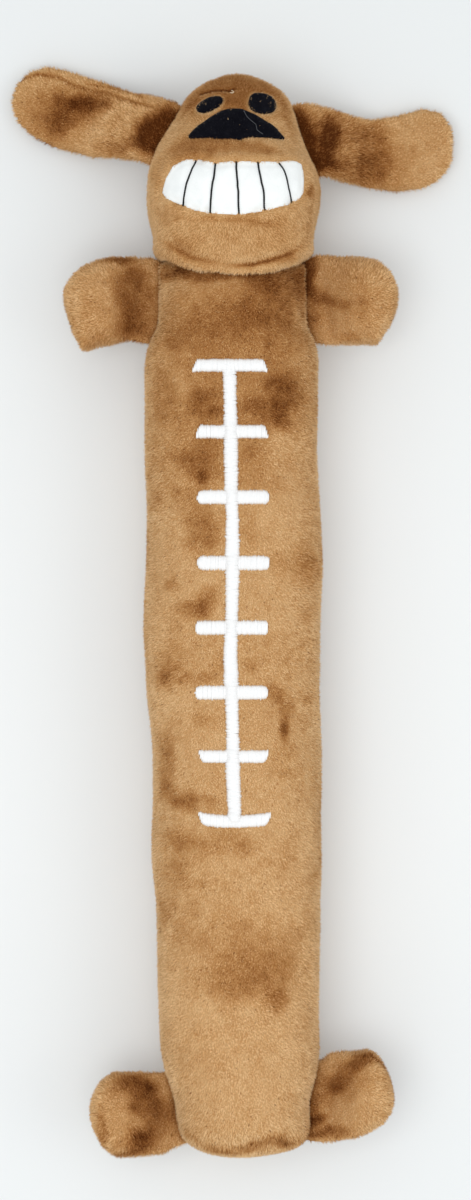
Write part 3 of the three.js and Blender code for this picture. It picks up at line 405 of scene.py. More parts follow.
def select(*pieces):
    """Selects these pieces alone, the first of them active."""
    bpy.ops.object.select_all(action="DESELECT")
    for piece in pieces:
        piece.select_set(True)
    bpy.context.view_layer.objects.active = pieces[0]


@contextlib.contextmanager
def editing():
    """Edit mode, with the whole mesh selected."""
    bpy.ops.object.mode_set(mode="EDIT")
    bpy.ops.mesh.select_all(action="SELECT")
    yield
    bpy.ops.object.mode_set(mode="OBJECT")


@contextlib.contextmanager
def shape_of(piece):
    """The piece's mesh as an editable shape, written back at the end."""
    shape = bmesh.new()
    shape.from_mesh(piece.data)
    yield shape
    shape.to_mesh(piece.data)
    shape.free()
    piece.data.update()


def apply_modifier(piece, modifier):
    select(piece)
    bpy.ops.object.modifier_apply(modifier=modifier.name)


def change(piece, kind, **settings):
    """Adds a modifier and applies it at once."""
    modifier = piece.modifiers.new("change", kind)
    for key, value in settings.items():
        setattr(modifier, key, value)
    apply_modifier(piece, modifier)


def smooth_cloth(piece, times):
    change(piece, "SMOOTH", factor=0.5, iterations=times)


def shade_smooth(piece):
    piece.data.polygons.foreach_set("use_smooth", [True] * len(piece.data.polygons))
    piece.data.update()


def remember(piece, name, values):
    attribute = piece.data.attributes.new(name, "FLOAT", "POINT")
    attribute.data.foreach_set("value", values.astype(np.float32))


def dress(piece, made, slot, body=None, *nodes):
    """Gives a piece its material and, if named, the body it rides on and the nodes it stands for; slot is not
    used.
    """
    piece.data.materials.clear()
    piece.data.materials.append(made)
    if body:
        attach(piece, body)
    if nodes:
        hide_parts(*nodes)


def cloudy(points, size, seed):
    """Soft random values from 0 to 1, which change over about this size."""
    at = points / size
    low = np.floor(at).astype(np.int64)
    part = at - low
    part = part * part * (3 - 2 * part)
    total = np.zeros(len(points))
    for corner in itertools.product((0, 1), repeat=3):
        cell = low + corner
        a, b, c = cell.T
        mixed = (a * 73856093) ^ (b * 19349663) ^ (c * 83492791) ^ (seed * 2654435761)
        mixed = ((mixed & 0xFFFFFF) * 1103515245 + 12345) & 0x7FFFFFFF
        value = ((mixed >> 7) & 0xFFFF) / 65535
        weight = np.where(corner, part, 1 - part).prod(1)
        total += weight * value
    return total


def lumps(points, size, seed, height):
    """Soft random bumps and hollows of this height."""
    return (cloudy(points, size * MM, seed) - 0.5) * height


# Lines and outlines seen from the front


def line_distance(points, line):
    """How far each point lies from a broken line in mm, and on which side: below it is negative."""
    best = np.full(len(points), 1e9)
    side = np.zeros(len(points))
    line = np.array(line) * MM
    for a, b in zip(line[:-1], line[1:]):
        along = b - a
        share = np.clip(((points[:, :2] - a) @ along) / (along @ along), 0, 1)
        away = points[:, :2] - (a + share[:, None] * along)
        gap = np.linalg.norm(away, axis=1)
        closer = gap < best
        best = np.where(closer, gap, best)
        turn = along[0] * away[:, 1] - along[1] * away[:, 0]
        side = np.where(closer, np.sign(turn), side)
    return best, side


def inside_outline(points, outline):
    inside = np.zeros(len(points), bool)
    x, y = points[:, 0], points[:, 1]
    for (ax, ay), (bx, by) in zip(outline, np.roll(outline, -1, axis=0)):
        crosses = (ay > y) != (by > y)
        at = ax + (y - ay) * (bx - ax) / (by - ay if by != ay else 1e-12)
        inside ^= crosses & (x < at)
    return inside


def outline_distance(points, outline):
    """How far each point lies from a closed outline; negative inside."""
    closed = np.vstack([outline, outline[:1]]) / MM
    gap, _ = line_distance(points, closed)
    return np.where(inside_outline(points, outline), -gap, gap)


def nearest_on(outline, point):
    """The place on a closed outline that lies nearest to a point."""
    along = np.roll(outline, -1, axis=0) - outline
    share = np.clip(((point - outline) * along).sum(1) / (along * along).sum(1), 0, 1)
    places = outline + share[:, None] * along
    return places[np.argmin(np.linalg.norm(point - places, axis=1))]


def rounded(before, a, b, after, t):
    """The place at share t of the way from a to b, on a smooth curve through before, a, b and after."""
    bend = 2 * before - 5 * a + 4 * b - after
    twist = 3 * a - before - 3 * b + after
    return 0.5 * (2 * a + (b - before) * t + bend * t**2 + twist * t**3)


def smooth_outline(shares, centre, half, steps=4):
    """A closed outline in metres through points given as shares of half sizes, rounded between them."""
    p = np.array(shares)
    before, after, last = np.roll(p, 1, axis=0), np.roll(p, -1, axis=0), np.roll(p, -2, axis=0)
    curve = np.stack([rounded(before, p, after, last, k / steps) for k in range(steps)], 1).reshape(-1, 2)
    return (np.array(centre) + curve * np.array(half)) * MM


def smooth_line(shares, centre, half, steps=26):
    """An open line in metres through points given as shares of half sizes, rounded between them."""
    p = np.array(shares)
    t = np.linspace(0, len(p) - 1, steps)
    low = np.minimum(t.astype(int), len(p) - 2)
    before, after = p[np.maximum(low - 1, 0)], p[np.minimum(low + 2, len(p) - 1)]
    curve = rounded(before, p[low], p[low + 1], after, (t - low)[:, None])
    return (np.array(centre) + curve * np.array(half)) * MM


def along_line(line, steps):
    """Evenly numbered places along a line: their x and their y."""
    t = np.linspace(0, len(line) - 1, steps)
    return [np.interp(t, range(len(line)), column) for column in np.array(line).T]


# Skins to measure on


def tree_of(piece):
    mesh = piece.data
    mesh.calc_loop_triangles()
    faces = [tuple(triangle.vertices) for triangle in mesh.loop_triangles]
    return BVHTree.FromPolygons([vertex.co for vertex in mesh.vertices], faces)


def inside(points, tree):
    """Which points lie inside a closed skin: the first face above such a point is seen from behind."""
    found = np.zeros(len(points), bool)
    for i, p in enumerate(points):
        normal = tree.ray_cast(Vector(p), SKYWARD)[1]
        found[i] = normal is not None and normal.dot(SKYWARD) > 0
    return found


def height_over(tree, x, y):
    """The place and normal of the skin's top over x and y, both None beside it."""
    return tree.ray_cast(Vector((x, y, 0.2)), Vector((0, 0, -1)))[:2]


def gap_to(points, tree, middle):
    """How far points lie from another pad's skin, looked for near the middle of the seam."""
    gap = np.full(len(points), SEAM_REACH)
    for i in np.flatnonzero(np.linalg.norm(points - np.array(middle) * MM, axis=1) < SEAM_REACH):
        gap[i] = tree.find_nearest(Vector(points[i]))[3]
    return gap


# Materials


def material(name, colour, roughness, sheen=0.0, sheen_roughness=0.5, specular=0.5):
    made = bpy.data.materials.new(name)
    made.use_nodes = True
    shader = made.node_tree.nodes["Principled BSDF"]
    shader.inputs["Base Color"].default_value = (*colour, 1)
    shader.inputs["Roughness"].default_value = roughness
    shader.inputs["Sheen Weight"].default_value = sheen
    shader.inputs["Sheen Roughness"].default_value = sheen_roughness
    shader.inputs["Specular IOR Level"].default_value = specular
    made.diffuse_color = (*colour, 1)
    return made


class Nodes:
    """Adds nodes to a material, each joined to the ones before it."""

    def __init__(self, made):
        self.tree = made.node_tree
        self.shader = made.node_tree.nodes["Principled BSDF"]

    def add(self, kind, **settings):
        node = self.tree.nodes.new(kind)
        for key, value in settings.items():
            setattr(node, key, value)
        return node

    def link(self, source, target):
        self.tree.links.new(source, target)

    def show(self, source, socket):
        self.link(source, self.shader.inputs[socket])

    def place(self):
        return self.add("ShaderNodeTexCoord").outputs["Object"]

    def grain(self, place, scale, detail=3.0, distortion=0.0):
        node = self.add("ShaderNodeTexNoise")
        node.inputs["Scale"].default_value = scale
        node.inputs["Detail"].default_value = detail
        node.inputs["Distortion"].default_value = distortion
        self.link(place, node.inputs["Vector"])
        return node.outputs["Fac"]

    def ramp(self, value, stops):
        node = self.add("ShaderNodeValToRGB")
        ramp = node.color_ramp
        while len(ramp.elements) < len(stops):
            ramp.elements.new(0.5)
        for element, (at, colour) in zip(ramp.elements, stops):
            element.position = at
            element.color = (*colour, 1)
        self.link(value, node.inputs["Fac"])
        return node.outputs["Color"]

    def rough(self, grain, low, high):
        self.show(self.ramp(grain, [(0.2, (low, low, low)), (0.8, (high, high, high))]), "Roughness")

    def math(self, operation, a, b):
        node = self.add("ShaderNodeMath", operation=operation)
        for socket, value in zip(node.inputs, (a, b)):
            if isinstance(value, (int, float)):
                socket.default_value = value
            else:
                self.link(value, socket)
        return node.outputs["Value"]

    def mix(self, a, b, share):
        return self.math("ADD", self.math("MULTIPLY", a, share), self.math("MULTIPLY", b, 1 - share))

    def bump(self, height, strength, distance):
        node = self.add("ShaderNodeBump")
        node.inputs["Strength"].default_value = strength
        node.inputs["Distance"].default_value = distance
        self.link(height, node.inputs["Height"])
        self.show(node.outputs["Normal"], "Normal")


def plush_ground_material():
    """The knitted ground of the plush, painted dark as the shade at the pile's roots, following the nap and
    shade.
    """
    made = material("plush_ground", (0.3, 0.15, 0.05), 0.95, specular=0.03)
    nodes = Nodes(made)
    place = nodes.place()
    nap_and_shade = nodes.add("ShaderNodeAttribute", attribute_name="nap_and_shade").outputs["Fac"]
    speckle, cloud = nodes.grain(place, 2600, 2.0), nodes.grain(place, 160, 3.0)
    spread = nodes.math("MULTIPLY", nodes.math("SUBTRACT", speckle, 0.5), 0.9)
    drift = nodes.math("MULTIPLY", nodes.math("SUBTRACT", cloud, 0.5), 0.3)
    value = nodes.math("ADD", nodes.math("ADD", nap_and_shade, spread), drift)
    places = np.linspace(0, 1, len(PILE_SHADES)).tolist()
    colours = [tuple(c * k for c, k in zip(shade, GROUND_SHADE_TINT)) for shade in PILE_SHADES]
    nodes.show(nodes.ramp(value, list(zip(places, colours))), "Base Color")
    nodes.rough(speckle, 0.82, 1.0)
    nodes.bump(speckle, 0.6, 0.4 * MM)
    return made


def grained(name, colour, roughness, fine, tones, bump, rough=None, coarse=None, creased=False, **look):
    """A material whose grain shows in its colour, roughness and relief.

    fine and coarse give a grain's scale, detail and distortion, and coarse ends with the fine grain's
    share in the mix of both. tones are stops of colour, rough is the lowest and highest roughness, and bump
    is strength and depth. The coarse grain shows in the relief only where the cloth is creased.
    """
    made = material(name, colour, roughness, **look)
    nodes = Nodes(made)
    place = nodes.place()
    grain = mixed = nodes.grain(place, *fine)
    if coarse:
        *scale, share = coarse
        mixed = nodes.mix(grain, nodes.grain(place, *scale), share)
    nodes.show(nodes.ramp(mixed, tones), "Base Color")
    if rough:
        nodes.rough(grain, *rough)
    nodes.bump(mixed if creased else grain, *bump)
    return made


def squeaker_material(name, colour):
    tones = [(0.3, tuple(0.9 * c for c in colour)), (0.7, colour)]
    return grained(name, colour, 0.38, (900, 3.0), tones, bump=(0.15, 0.2 * MM), rough=(0.3, 0.48))


plush_ground = plush_ground_material()
satin_thread = grained(
    "white_satin_thread", (0.93, 0.935, 0.94), 0.42, sheen=0.15,
    fine=(5200, 2.0, 0.6), rough=(0.34, 0.55), bump=(0.35, 0.1 * MM),
    tones=[(0.25, (0.80, 0.805, 0.81)), (0.6, (0.93, 0.935, 0.94))],
)
# a fine close weave with faint shallow creases
tooth_cloth = grained(
    "white_tooth_cloth", (0.86, 0.89, 0.88), 0.62, sheen=0.2, specular=0.35,
    fine=(3200, 2.0), coarse=(240, 4.0, 0.4, 0.4), creased=True, rough=(0.52, 0.74), bump=(0.3, 0.3 * MM),
    tones=[(0.3, (0.80, 0.83, 0.83)), (0.6, (0.89, 0.915, 0.91))],
)
# black with a faint navy cast and matted fibres
felt = grained(
    "black_felt", (0.004, 0.004, 0.006), 1.0, specular=0.03,
    fine=(2400, 4.0, 1.2), coarse=(420, 3.0, 0.0, 0.6), rough=(0.8, 1.0), bump=(0.6, 0.3 * MM),
    tones=[(0.3, (0.002, 0.002, 0.004)), (0.55, (0.005, 0.005, 0.008)), (0.8, (0.014, 0.015, 0.019))],
)
stitch_thread = grained(
    "black_stitch_thread", (0.006, 0.006, 0.008), 0.7, specular=0.15,
    fine=(6000, 2.0, 0.5), rough=(0.42, 0.68), bump=(0.3, 0.1 * MM),
    tones=[(0.3, (0.003, 0.003, 0.004)), (0.75, (0.012, 0.013, 0.016))],
)
fibrefill = grained(
    "white_fibrefill", (0.82, 0.82, 0.78), 1.0, sheen=0.3, specular=0.1, fine=(700, 5.0, 1.5),
    tones=[(0.25, (0.62, 0.62, 0.58)), (0.7, (0.9, 0.9, 0.86))], bump=(0.8, 1 * MM),
)
squeaker_plastic = squeaker_material("squeaker_plastic", (0.8, 0.8, 0.76))
valve_plastic = squeaker_material("valve_plastic", (0.68, 0.68, 0.64))
pile_materials = []
for number, shade in enumerate(PILE_SHADES, 1):
    name, sheen = f"plush_pile_{number}", PILE_SHEEN * shade[0]
    made = material(name, shade, 0.9, sheen=sheen, sheen_roughness=0.4, specular=0.05)
    made.node_tree.nodes["Principled BSDF"].inputs["Sheen Tint"].default_value = (*PILE_SHEEN_TINT, 1)
    pile_materials.append(made)
black_pile_material = material("black_felt_fibre", (0.012, 0.013, 0.017), 0.9, sheen=0.2, specular=0.1)


# Stuffed plush


def stuffed(name, nodes, voxel):
    """One closed pad over a part's panels and filling, with the seam between the panels closed."""
    copies = [new_object(name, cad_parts[node].data.copy()) for node in nodes]
    select(*copies)
    bpy.ops.object.join()
    with editing():
        bpy.ops.mesh.remove_doubles(threshold=1e-6)
    pad = copies[0]
    pad.data.materials.clear()
    pad.data.remesh_voxel_size = voxel
    pad.data.remesh_voxel_adaptivity = 0
    bpy.ops.object.voxel_remesh()
    with shape_of(pad) as shape:
        outer = max(skins_of(shape), key=len)
        bmesh.ops.delete(shape, geom=[v for v in shape.verts if v not in outer], context="VERTS")
        bmesh.ops.recalc_face_normals(shape, faces=shape.faces)
    return pad


def skins_of(shape):
    """The separate skins of a shape: the remesh leaves inner ones round hollows."""
    left = set(shape.verts)
    skins = []
    while left:
        skin, edge = set(), [left.pop()]
        while edge:
            vert = edge.pop()
            skin.add(vert)
            for link in vert.link_edges:
                other = link.other_vert(vert)
                if other in left:
                    left.discard(other)
                    edge.append(other)
        skins.append(skin)
    return skins


def hold(pad, held):
    """Prepares a pad for the filling: held is 1 where a seam holds the cloth."""
    group = pad.vertex_groups.new(name="sewn")
    for i, weight in enumerate(held):
        if weight > 0.01:
            group.add([i], float(min(weight, 1)), "REPLACE")
    settings = pad.modifiers.new("filling", "CLOTH").settings
    settings.effector_weights.gravity = 0
    settings.vertex_group_mass = group.name
    for key, value in PLUSH_CLOTH.items():
        setattr(settings, key, value)


def fill_pads(pads):
    """Lets the filling press all pads out at once, no point further than its reach."""
    scene = bpy.context.scene
    rest = {pad.name: points_of(pad) for pad in pads}
    for step in range(1, FILLING_STEPS + 1):
        scene.frame_set(step)
    for pad in pads:
        apply_modifier(pad, pad.modifiers["filling"])
        move = points_of(pad) - rest[pad.name]
        gap = np.linalg.norm(move, axis=1, keepdims=True)
        set_points(pad, rest[pad.name] + move * np.minimum(1, FILLING_REACH / np.maximum(gap, 1e-9)))
        pad.vertex_groups.clear()
    scene.frame_set(1)


def draw_in(pad, amount):
    """Moves the cloth inwards, or outwards where amount is below zero."""
    set_points(pad, points_of(pad) - normals_of(pad) * np.reshape(amount, (-1, 1)))


def nap_and_shade_of(part, points, normals):
    """How dark the pile lies, from 0 to 1, from the part's patches, some painted shade, and soft random
    clouds.
    """
    base, cloud_depth, patch_depth = NAP_BASE[part]
    warp = np.stack([cloudy(points, 9 * MM, 11), cloudy(points, 9 * MM, 12)], 1) - 0.5
    fine = np.stack([cloudy(points, 2.6 * MM, 13), cloudy(points, 2.6 * MM, 14)], 1) - 0.5
    seen = points[:, :2] / MM + warp * PATCH_WARP + fine * PATCH_FRAY
    clear = np.ones(len(points))
    front = np.clip(normals[:, 2] / 0.35, 0, 1)
    for x, y, across, along, turn, depth in NAP_AND_SHADE_PATCHES[part]:
        angle = math.radians(turn)
        dx, dy = seen[:, 0] - x, seen[:, 1] - y
        u = (dx * math.cos(angle) + dy * math.sin(angle)) / across
        v = (-dx * math.sin(angle) + dy * math.cos(angle)) / along
        full = np.clip((PATCH_END - np.sqrt(u * u + v * v)) / PATCH_FADE, 0, 1)
        clear *= 1 - depth * patch_depth * front * full * full * (3 - 2 * full)
    soft = cloudy(points, 14 * MM, 21) * 0.6 + cloudy(points, 5 * MM, 22) * 0.4
    hidden = (1 - front) * np.clip((soft - 0.55) * 3.2, 0, 1) * 0.5
    speckle = lumps(points, 2.2, 23, 0.2)
    return np.clip(1 - clear * (1 - hidden) + base + (soft - 0.5) * cloud_depth + speckle, 0, 1)


# Pile


def tuft_shape():
    """One tuft of pile: a three-sided spike, one unit wide and high, its point up."""
    bpy.ops.object.select_all(action="DESELECT")
    bpy.ops.mesh.primitive_cone_add(vertices=3, radius1=1, radius2=0, depth=1, end_fill_type="NGON")
    tuft = bpy.context.active_object
    with editing():
        bpy.ops.transform.translate(value=(0, 0, 0.5))
        bpy.ops.mesh.quads_convert_to_tris()
    points = points_of(tuft)
    faces = np.array([tuple(p.vertices) for p in tuft.data.polygons])
    bpy.data.objects.remove(tuft)
    return points, faces


TUFT_POINTS, TUFT_FACES = tuft_shape()


def scatter(pad, per_mm2, random):
    """Places for tufts, evenly over the pad's cloth: points, normals, nap and painted shade, how near a seam
    is.
    """
    mesh = pad.data
    mesh.calc_loop_triangles()
    corners = np.empty(len(mesh.loop_triangles) * 3, np.int32)
    mesh.loop_triangles.foreach_get("vertices", corners)
    corners = corners.reshape(-1, 3)
    place, normal = points_of(pad), normals_of(pad)
    nap_and_shade, sewn = np.empty((2, len(mesh.vertices)), np.float32)
    mesh.attributes["nap_and_shade"].data.foreach_get("value", nap_and_shade)
    mesh.attributes["sewn"].data.foreach_get("value", sewn)
    a, b, c = (place[corners[:, i]] for i in range(3))
    area = np.linalg.norm(np.cross(b - a, c - a), axis=1) / 2
    count = np.floor(area * per_mm2(a) / MM**2 + random.random(len(area))).astype(int)
    owner = np.repeat(np.arange(len(area)), count)
    u, v = random.random((2, len(owner)))
    folded = u + v > 1
    u, v = np.where(folded, 1 - u, u), np.where(folded, 1 - v, v)
    shares = np.stack([1 - u - v, u, v], 1)[:, :, None]
    picked = corners[owner]
    return (
        (place[picked] * shares).sum(1),
        unit((normal[picked] * shares).sum(1)),
        (nap_and_shade[picked] * shares[:, :, 0]).sum(1),
        (sewn[picked] * shares[:, :, 0]).sum(1),
    )


def picked(spots, mask):
    return tuple(part[mask] for part in spots)


def pile(
    name, spots, way, random, length=PILE_LENGTH, width=PILE_WIDTH, lean=PILE_LEAN, mottle=1.0, shades=None
):
    """Copies the tuft to every spot, leaning the given way, in one piece whose materials are the shades."""
    place, normal, nap_and_shade, sewn = spots
    shades = shades or pile_materials
    count = len(place)
    way = np.broadcast_to(np.array(way, float), (count, 3))
    along = unit(way - normal * (way * normal).sum(1, keepdims=True) + 1e-6)
    side = np.cross(normal, along)
    swirl = lumps(place, 7, 31, 1.0) + lumps(place, 2, 32, 0.4)
    aside = np.sign(cloudy(place, 12 * MM, 33) - 0.5)
    swirl = swirl + random.normal(0, TUFT_TURN, count) + nap_and_shade * NAP_TURN * aside
    along = along * np.cos(swirl)[:, None] + side * np.sin(swirl)[:, None]
    side = np.cross(along, normal)
    tilt = np.radians(lean + random.normal(0, TUFT_LEAN, count) - NAP_RAISE * nap_and_shade + lumps(place, 3, 34, 8))
    upward = normal * np.cos(tilt)[:, None] + along * np.sin(tilt)[:, None]
    reach = length * random.uniform(*TUFT_LENGTHS, count) * (1 - 0.5 * sewn)
    girth = width * random.uniform(*TUFT_GIRTHS, count)
    root = place - normal * PILE_SINK
    shape = TUFT_POINTS
    made = (
        root[:, None]
        + side[:, None] * (shape[None, :, 0:1] * girth[:, None, None] * 1.25)
        + along[:, None] * (shape[None, :, 1:2] * girth[:, None, None] * 0.8)
        + upward[:, None] * (shape[None, :, 2:3] * (reach + PILE_SINK)[:, None, None])
    )
    made[:, :, 2] = np.maximum(made[:, :, 2], PILE_FLOOR)
    faces = (TUFT_FACES[None] + (np.arange(count) * len(shape))[:, None, None]).reshape(-1, 3)
    mesh = bpy.data.meshes.new(name)
    mesh.vertices.add(count * len(shape))
    mesh.vertices.foreach_set("co", made.astype(np.float32).ravel())
    mesh.loops.add(faces.size)
    mesh.loops.foreach_set("vertex_index", faces.astype(np.int32).ravel())
    mesh.polygons.add(len(faces))
    mesh.polygons.foreach_set("loop_start", np.arange(0, faces.size, 3, dtype=np.int32))
    for shade in shades:
        mesh.materials.append(shade)
    flecks = random.exponential(0.15, count) - 0.13 + random.normal(0, 0.06, count)
    level = nap_and_shade + (flecks + lumps(place, 0.8, 35, 0.26)) * mottle
    index = np.clip(np.round(level * (len(shades) - 1)), 0, len(shades) - 1).astype(np.int32)
    mesh.polygons.foreach_set("material_index", np.repeat(index, len(TUFT_FACES)))
    mesh.update(calc_edges=True)
    mesh.validate()
    soften(mesh, normal)
    return new_object(name, mesh)


def soften(mesh, normal):
    """Turns the tufts' shading towards the cloth's, which makes the pile look like velvet."""
    flat = np.empty(len(mesh.polygons) * 3)
    mesh.polygons.foreach_get("normal", flat)
    cloth = np.repeat(normal, len(TUFT_FACES), axis=0)
    mixed = unit(flat.reshape(-1, 3) * (1 - NAP_SOFTNESS) + cloth * NAP_SOFTNESS)
    mesh.polygons.foreach_set("use_smooth", [True] * len(mesh.polygons))
    mesh.normals_split_custom_set(np.repeat(mixed, 3, axis=0))


def seam_share(part, points):
    """How far outward of its seam each point of a sewn-on part lies, in mm."""
    _, middle, outward = SEAMS[part]
    return (points / MM - np.array(middle)) @ np.array(outward)


def eye_outline(x, y, half_width, half_height, turn, steps=28):
    """An uneven oval, a little squarer than an ellipse."""
    a = 2 * np.pi * np.arange(steps) / steps
    u = half_width * np.sign(np.cos(a)) * np.abs(np.cos(a)) ** 0.85 * (1 + 0.03 * np.sin(3 * a + 1))
    v = half_height * np.sign(np.sin(a)) * np.abs(np.sin(a)) ** 0.9 * (1 + 0.04 * np.sin(2 * a))
    cos, sin = math.cos(math.radians(turn)), math.sin(math.radians(turn))
    return np.stack([x + u * cos - v * sin, y + u * sin + v * cos], 1) * MM


pads = {part: stuffed(f"{part}_plush", nodes, cell * MM) for part, (cell, nodes) in PARTS.items()}
teeth_outline = smooth_outline(TEETH_SHARES, TEETH_CENTRE, TEETH_HALF)
nose_outline = smooth_outline(NOSE_OUTLINE, (0, 0), (1, 1))
eye_outlines = {eye: eye_outline(*shape) for eye, shape in EYES.items()}
face_outlines = (teeth_outline, nose_outline, *eye_outlines.values())


def held_cloth(part, points):
    """1 where a seam, stitching or the table holds the cloth."""
    x, y, z = points.T
    if part == "body":
        lacing = near(x, 3 * MM) * (z > BODY_MIDDLE_Z) * (np.abs(y - 28 * MM) < 66 * MM)
        held = np.maximum(near(z - BODY_MIDDLE_Z, 1.6 * MM), lacing)
        held = np.maximum(held, y > CHIN_END_Y - 4 * MM)
    elif part == "head":
        face = z > FACE_MIN_Z
        held = near(z - HEAD_SEAM_Z, 1.4 * MM)
        held = np.maximum(held, near(line_distance(points, CHIN_CREASE)[0], 1.2 * MM) * face)
        for outline in face_outlines:
            held = np.maximum(held, near(outline_distance(points, outline), 1.0 * MM) * face)
        held = np.maximum(held, y < CHIN_END_Y + 1 * MM)
    else:
        held = np.clip(1 - seam_share(part, points) / 3, 0, 1)
    return np.maximum(held, z < 1.2 * MM)


for part, pad in pads.items():
    hold(pad, held_cloth(part, points_of(pad)))
fill_pads(list(pads.values()))

for part, pad in pads.items():
    smooth_cloth(pad, 3)
    change(pad, "SUBSURF", levels=1, render_levels=1)
    draw_in(pad, CLOTH_INSET if part in ("body", "head") else -LIMB_OUTSET)


# Seams, creases and the pull of the stitching


def square_shoulders(points):
    """Fills out both corners of the body's round end, where the chin leaves room beside the arms."""
    across = (points[:, 0] - NECK_MIDDLE_X) / NECK_HALF_WIDTH
    up, forward = points[:, 1] - NECK_LINE_Y, points[:, 2] - BODY_MIDDLE_Z
    away = np.hypot(np.maximum(up, 0), forward) / NECK_RADIUS
    own_width = (1 - np.minimum(away, CORNER_REACH) ** NECK_PROFILE) ** (1 / NECK_PROFILE)
    filled = np.clip((CORNER_REACH + CORNER_FADE - away) / CORNER_FADE, 0, 1)
    filled *= np.clip(up / (4 * MM) + 1, 0, 1) * np.clip((10 * MM - np.abs(forward)) / (5 * MM), 0, 1)
    moved = points.copy()
    moved[:, 0] = NECK_MIDDLE_X + across * NECK_HALF_WIDTH * (1 + (1.01 / own_width - 1) * filled)
    return moved


def lacing_pull(points):
    """How far the lacing draws in the plush under and beside it, in mm."""
    x, y = points[:, 0] / MM, points[:, 1] / MM
    along_spine = (y < SPINE_TOP_Y) & (y > SPINE_END_Y)
    pull = near(x - NECK_MIDDLE_X / MM, 3.4) * along_spine
    for bar_x, bar_y, length, *_ in LACE_BARS:
        beyond = np.maximum(np.abs(x - bar_x) - length / 2, 0)
        away = np.hypot(beyond, np.maximum(np.abs(y - bar_y) - 1.2, 0))
        pull = np.maximum(pull, near(away, 2.6))
    return LACING_PULL * pull


def shape_body(pad):
    place = square_shoulders(points_of(pad))
    set_points(pad, place)
    front = place[:, 2] > BODY_MIDDLE_Z + 5 * MM
    seam = BODY_SEAM_DEPTH * near(place[:, 2] - BODY_MIDDLE_Z, SEAM_HALF_WIDTH)
    uneven = lumps(place, 22, 41, 0.7) + lumps(place, 9, 42, 0.3)
    draw_in(pad, (seam + lacing_pull(place) * front + uneven) * MM)


def crease_share(points):
    """The crease over the chin is deepest halfway out, shallow in the middle and gone at both ends."""
    across = (points[:, 0] - NECK_MIDDLE_X) / MM
    ends = np.clip((22 - np.abs(across)) / 7, 0, 1) * np.where(across < 0, 0.85, 1)
    return (1 - 0.6 * near(points[:, 0] + 3 * MM, 5 * MM)) * ends


def shape_head(pad):
    place = points_of(pad)
    jaw = near(place[:, 1] - JAW_Y, JAW_REACH) * np.clip((np.abs(place[:, 0]) / MM - 8) / 8, 0, 1)
    place[:, 0] += np.sign(place[:, 0]) * jaw * JAW_OUTSET
    place[:, 1] += np.clip((place[:, 1] / MM - CROWN_START_Y) / 10, 0, 1) * CROWN_RISE * MM
    shift = np.interp(np.abs(place[:, 0] - NECK_MIDDLE_X) / MM, CHIN_RIM_PLACES, CHIN_RIM_SHIFTS)
    in_front = np.clip((place[:, 2] / MM - 24) / 8, 0, 1)
    on_rim = np.clip((CHIN_RIM_END_Y - place[:, 1] / MM) / 6, 0, 1) * np.where(shift < 0, in_front, 1)
    place[:, 1] += shift * on_rim * MM
    set_points(pad, place)
    from_neck = place[:, 1:] - np.array((NECK_LINE_Y, BODY_MIDDLE_Z))
    outer = (normals_of(pad)[:, 1:] * from_neck).sum(1) > 0
    face = np.clip((place[:, 2] - FACE_MIN_Z) / (6 * MM), 0, 1) * outer
    gap, side = line_distance(place, CHIN_CREASE)
    crease = CREASE_DEPTH * near(gap, 1.1 * MM)
    welt = -WELT_HEIGHT * near(gap - 2.0 * MM, 1.0 * MM) * (side < 0)
    lip = -LIP_HEIGHT * near(outline_distance(place, teeth_outline) - 1.3 * MM, 1.3 * MM)
    sunk = FELT_SINK * near(outline_distance(place, nose_outline), 0.9 * MM)
    for outline in eye_outlines.values():
        sunk = np.maximum(sunk, FELT_SINK * near(outline_distance(place, outline), 0.7 * MM))
    above_neck = place[:, 1] > NECK_LINE_Y + 26 * MM
    seam = HEAD_SEAM_DEPTH * near(place[:, 2] - HEAD_SEAM_Z, SEAM_HALF_WIDTH) * above_neck
    on_face = ((crease + welt) * crease_share(place) + lip + sunk) * face
    draw_in(pad, (on_face + seam + lumps(place, 18, 43, 0.6)) * MM)


def shape_sewn_on(part, pad):
    """Runs a limb or an ear into its seam, widens or narrows it there, and pinches it at the stitching."""
    _, middle, outward = SEAMS[part]
    place = points_of(pad)
    out = seam_share(part, place)
    inward = np.clip(1 - (out + 1.5) / 3.5, 0, 1)
    inward = inward * inward * (3 - 2 * inward) * ROOT_DEPTH * MM
    place = place - np.array(outward) * inward[:, None]
    sideways = abs(outward[1]) if outward[0] < 0 else -outward[1]
    along_seam = np.array((sideways, abs(outward[0]), 0))
    height = (place / MM - np.array(middle)) @ along_seam
    to_head, to_foot, length = ROOT_WIDENING[part]
    height = height / ROOT_HALF_LENGTH
    shift = np.where(height > 0, to_head * np.clip(height, 0, 1), to_foot * np.clip(height, -1, 0))
    shift = shift * near(np.maximum(out, 0), length)
    place = place + along_seam * (shift * MM)[:, None]
    seam_z = middle[2] * MM
    place[:, 2] = seam_z + (place[:, 2] - seam_z) * (1 - SEAM_PINCH * near(out - 0.4, 1.5))
    set_points(pad, place)
    edge = LIMB_SEAM_DEPTH * near(np.abs(normals_of(pad)[:, 2]), 0.12) * (out > 5)
    draw_in(pad, (lumps(place, 11, 44, 0.7) * np.clip(out / 6, 0, 1) + edge) * MM)


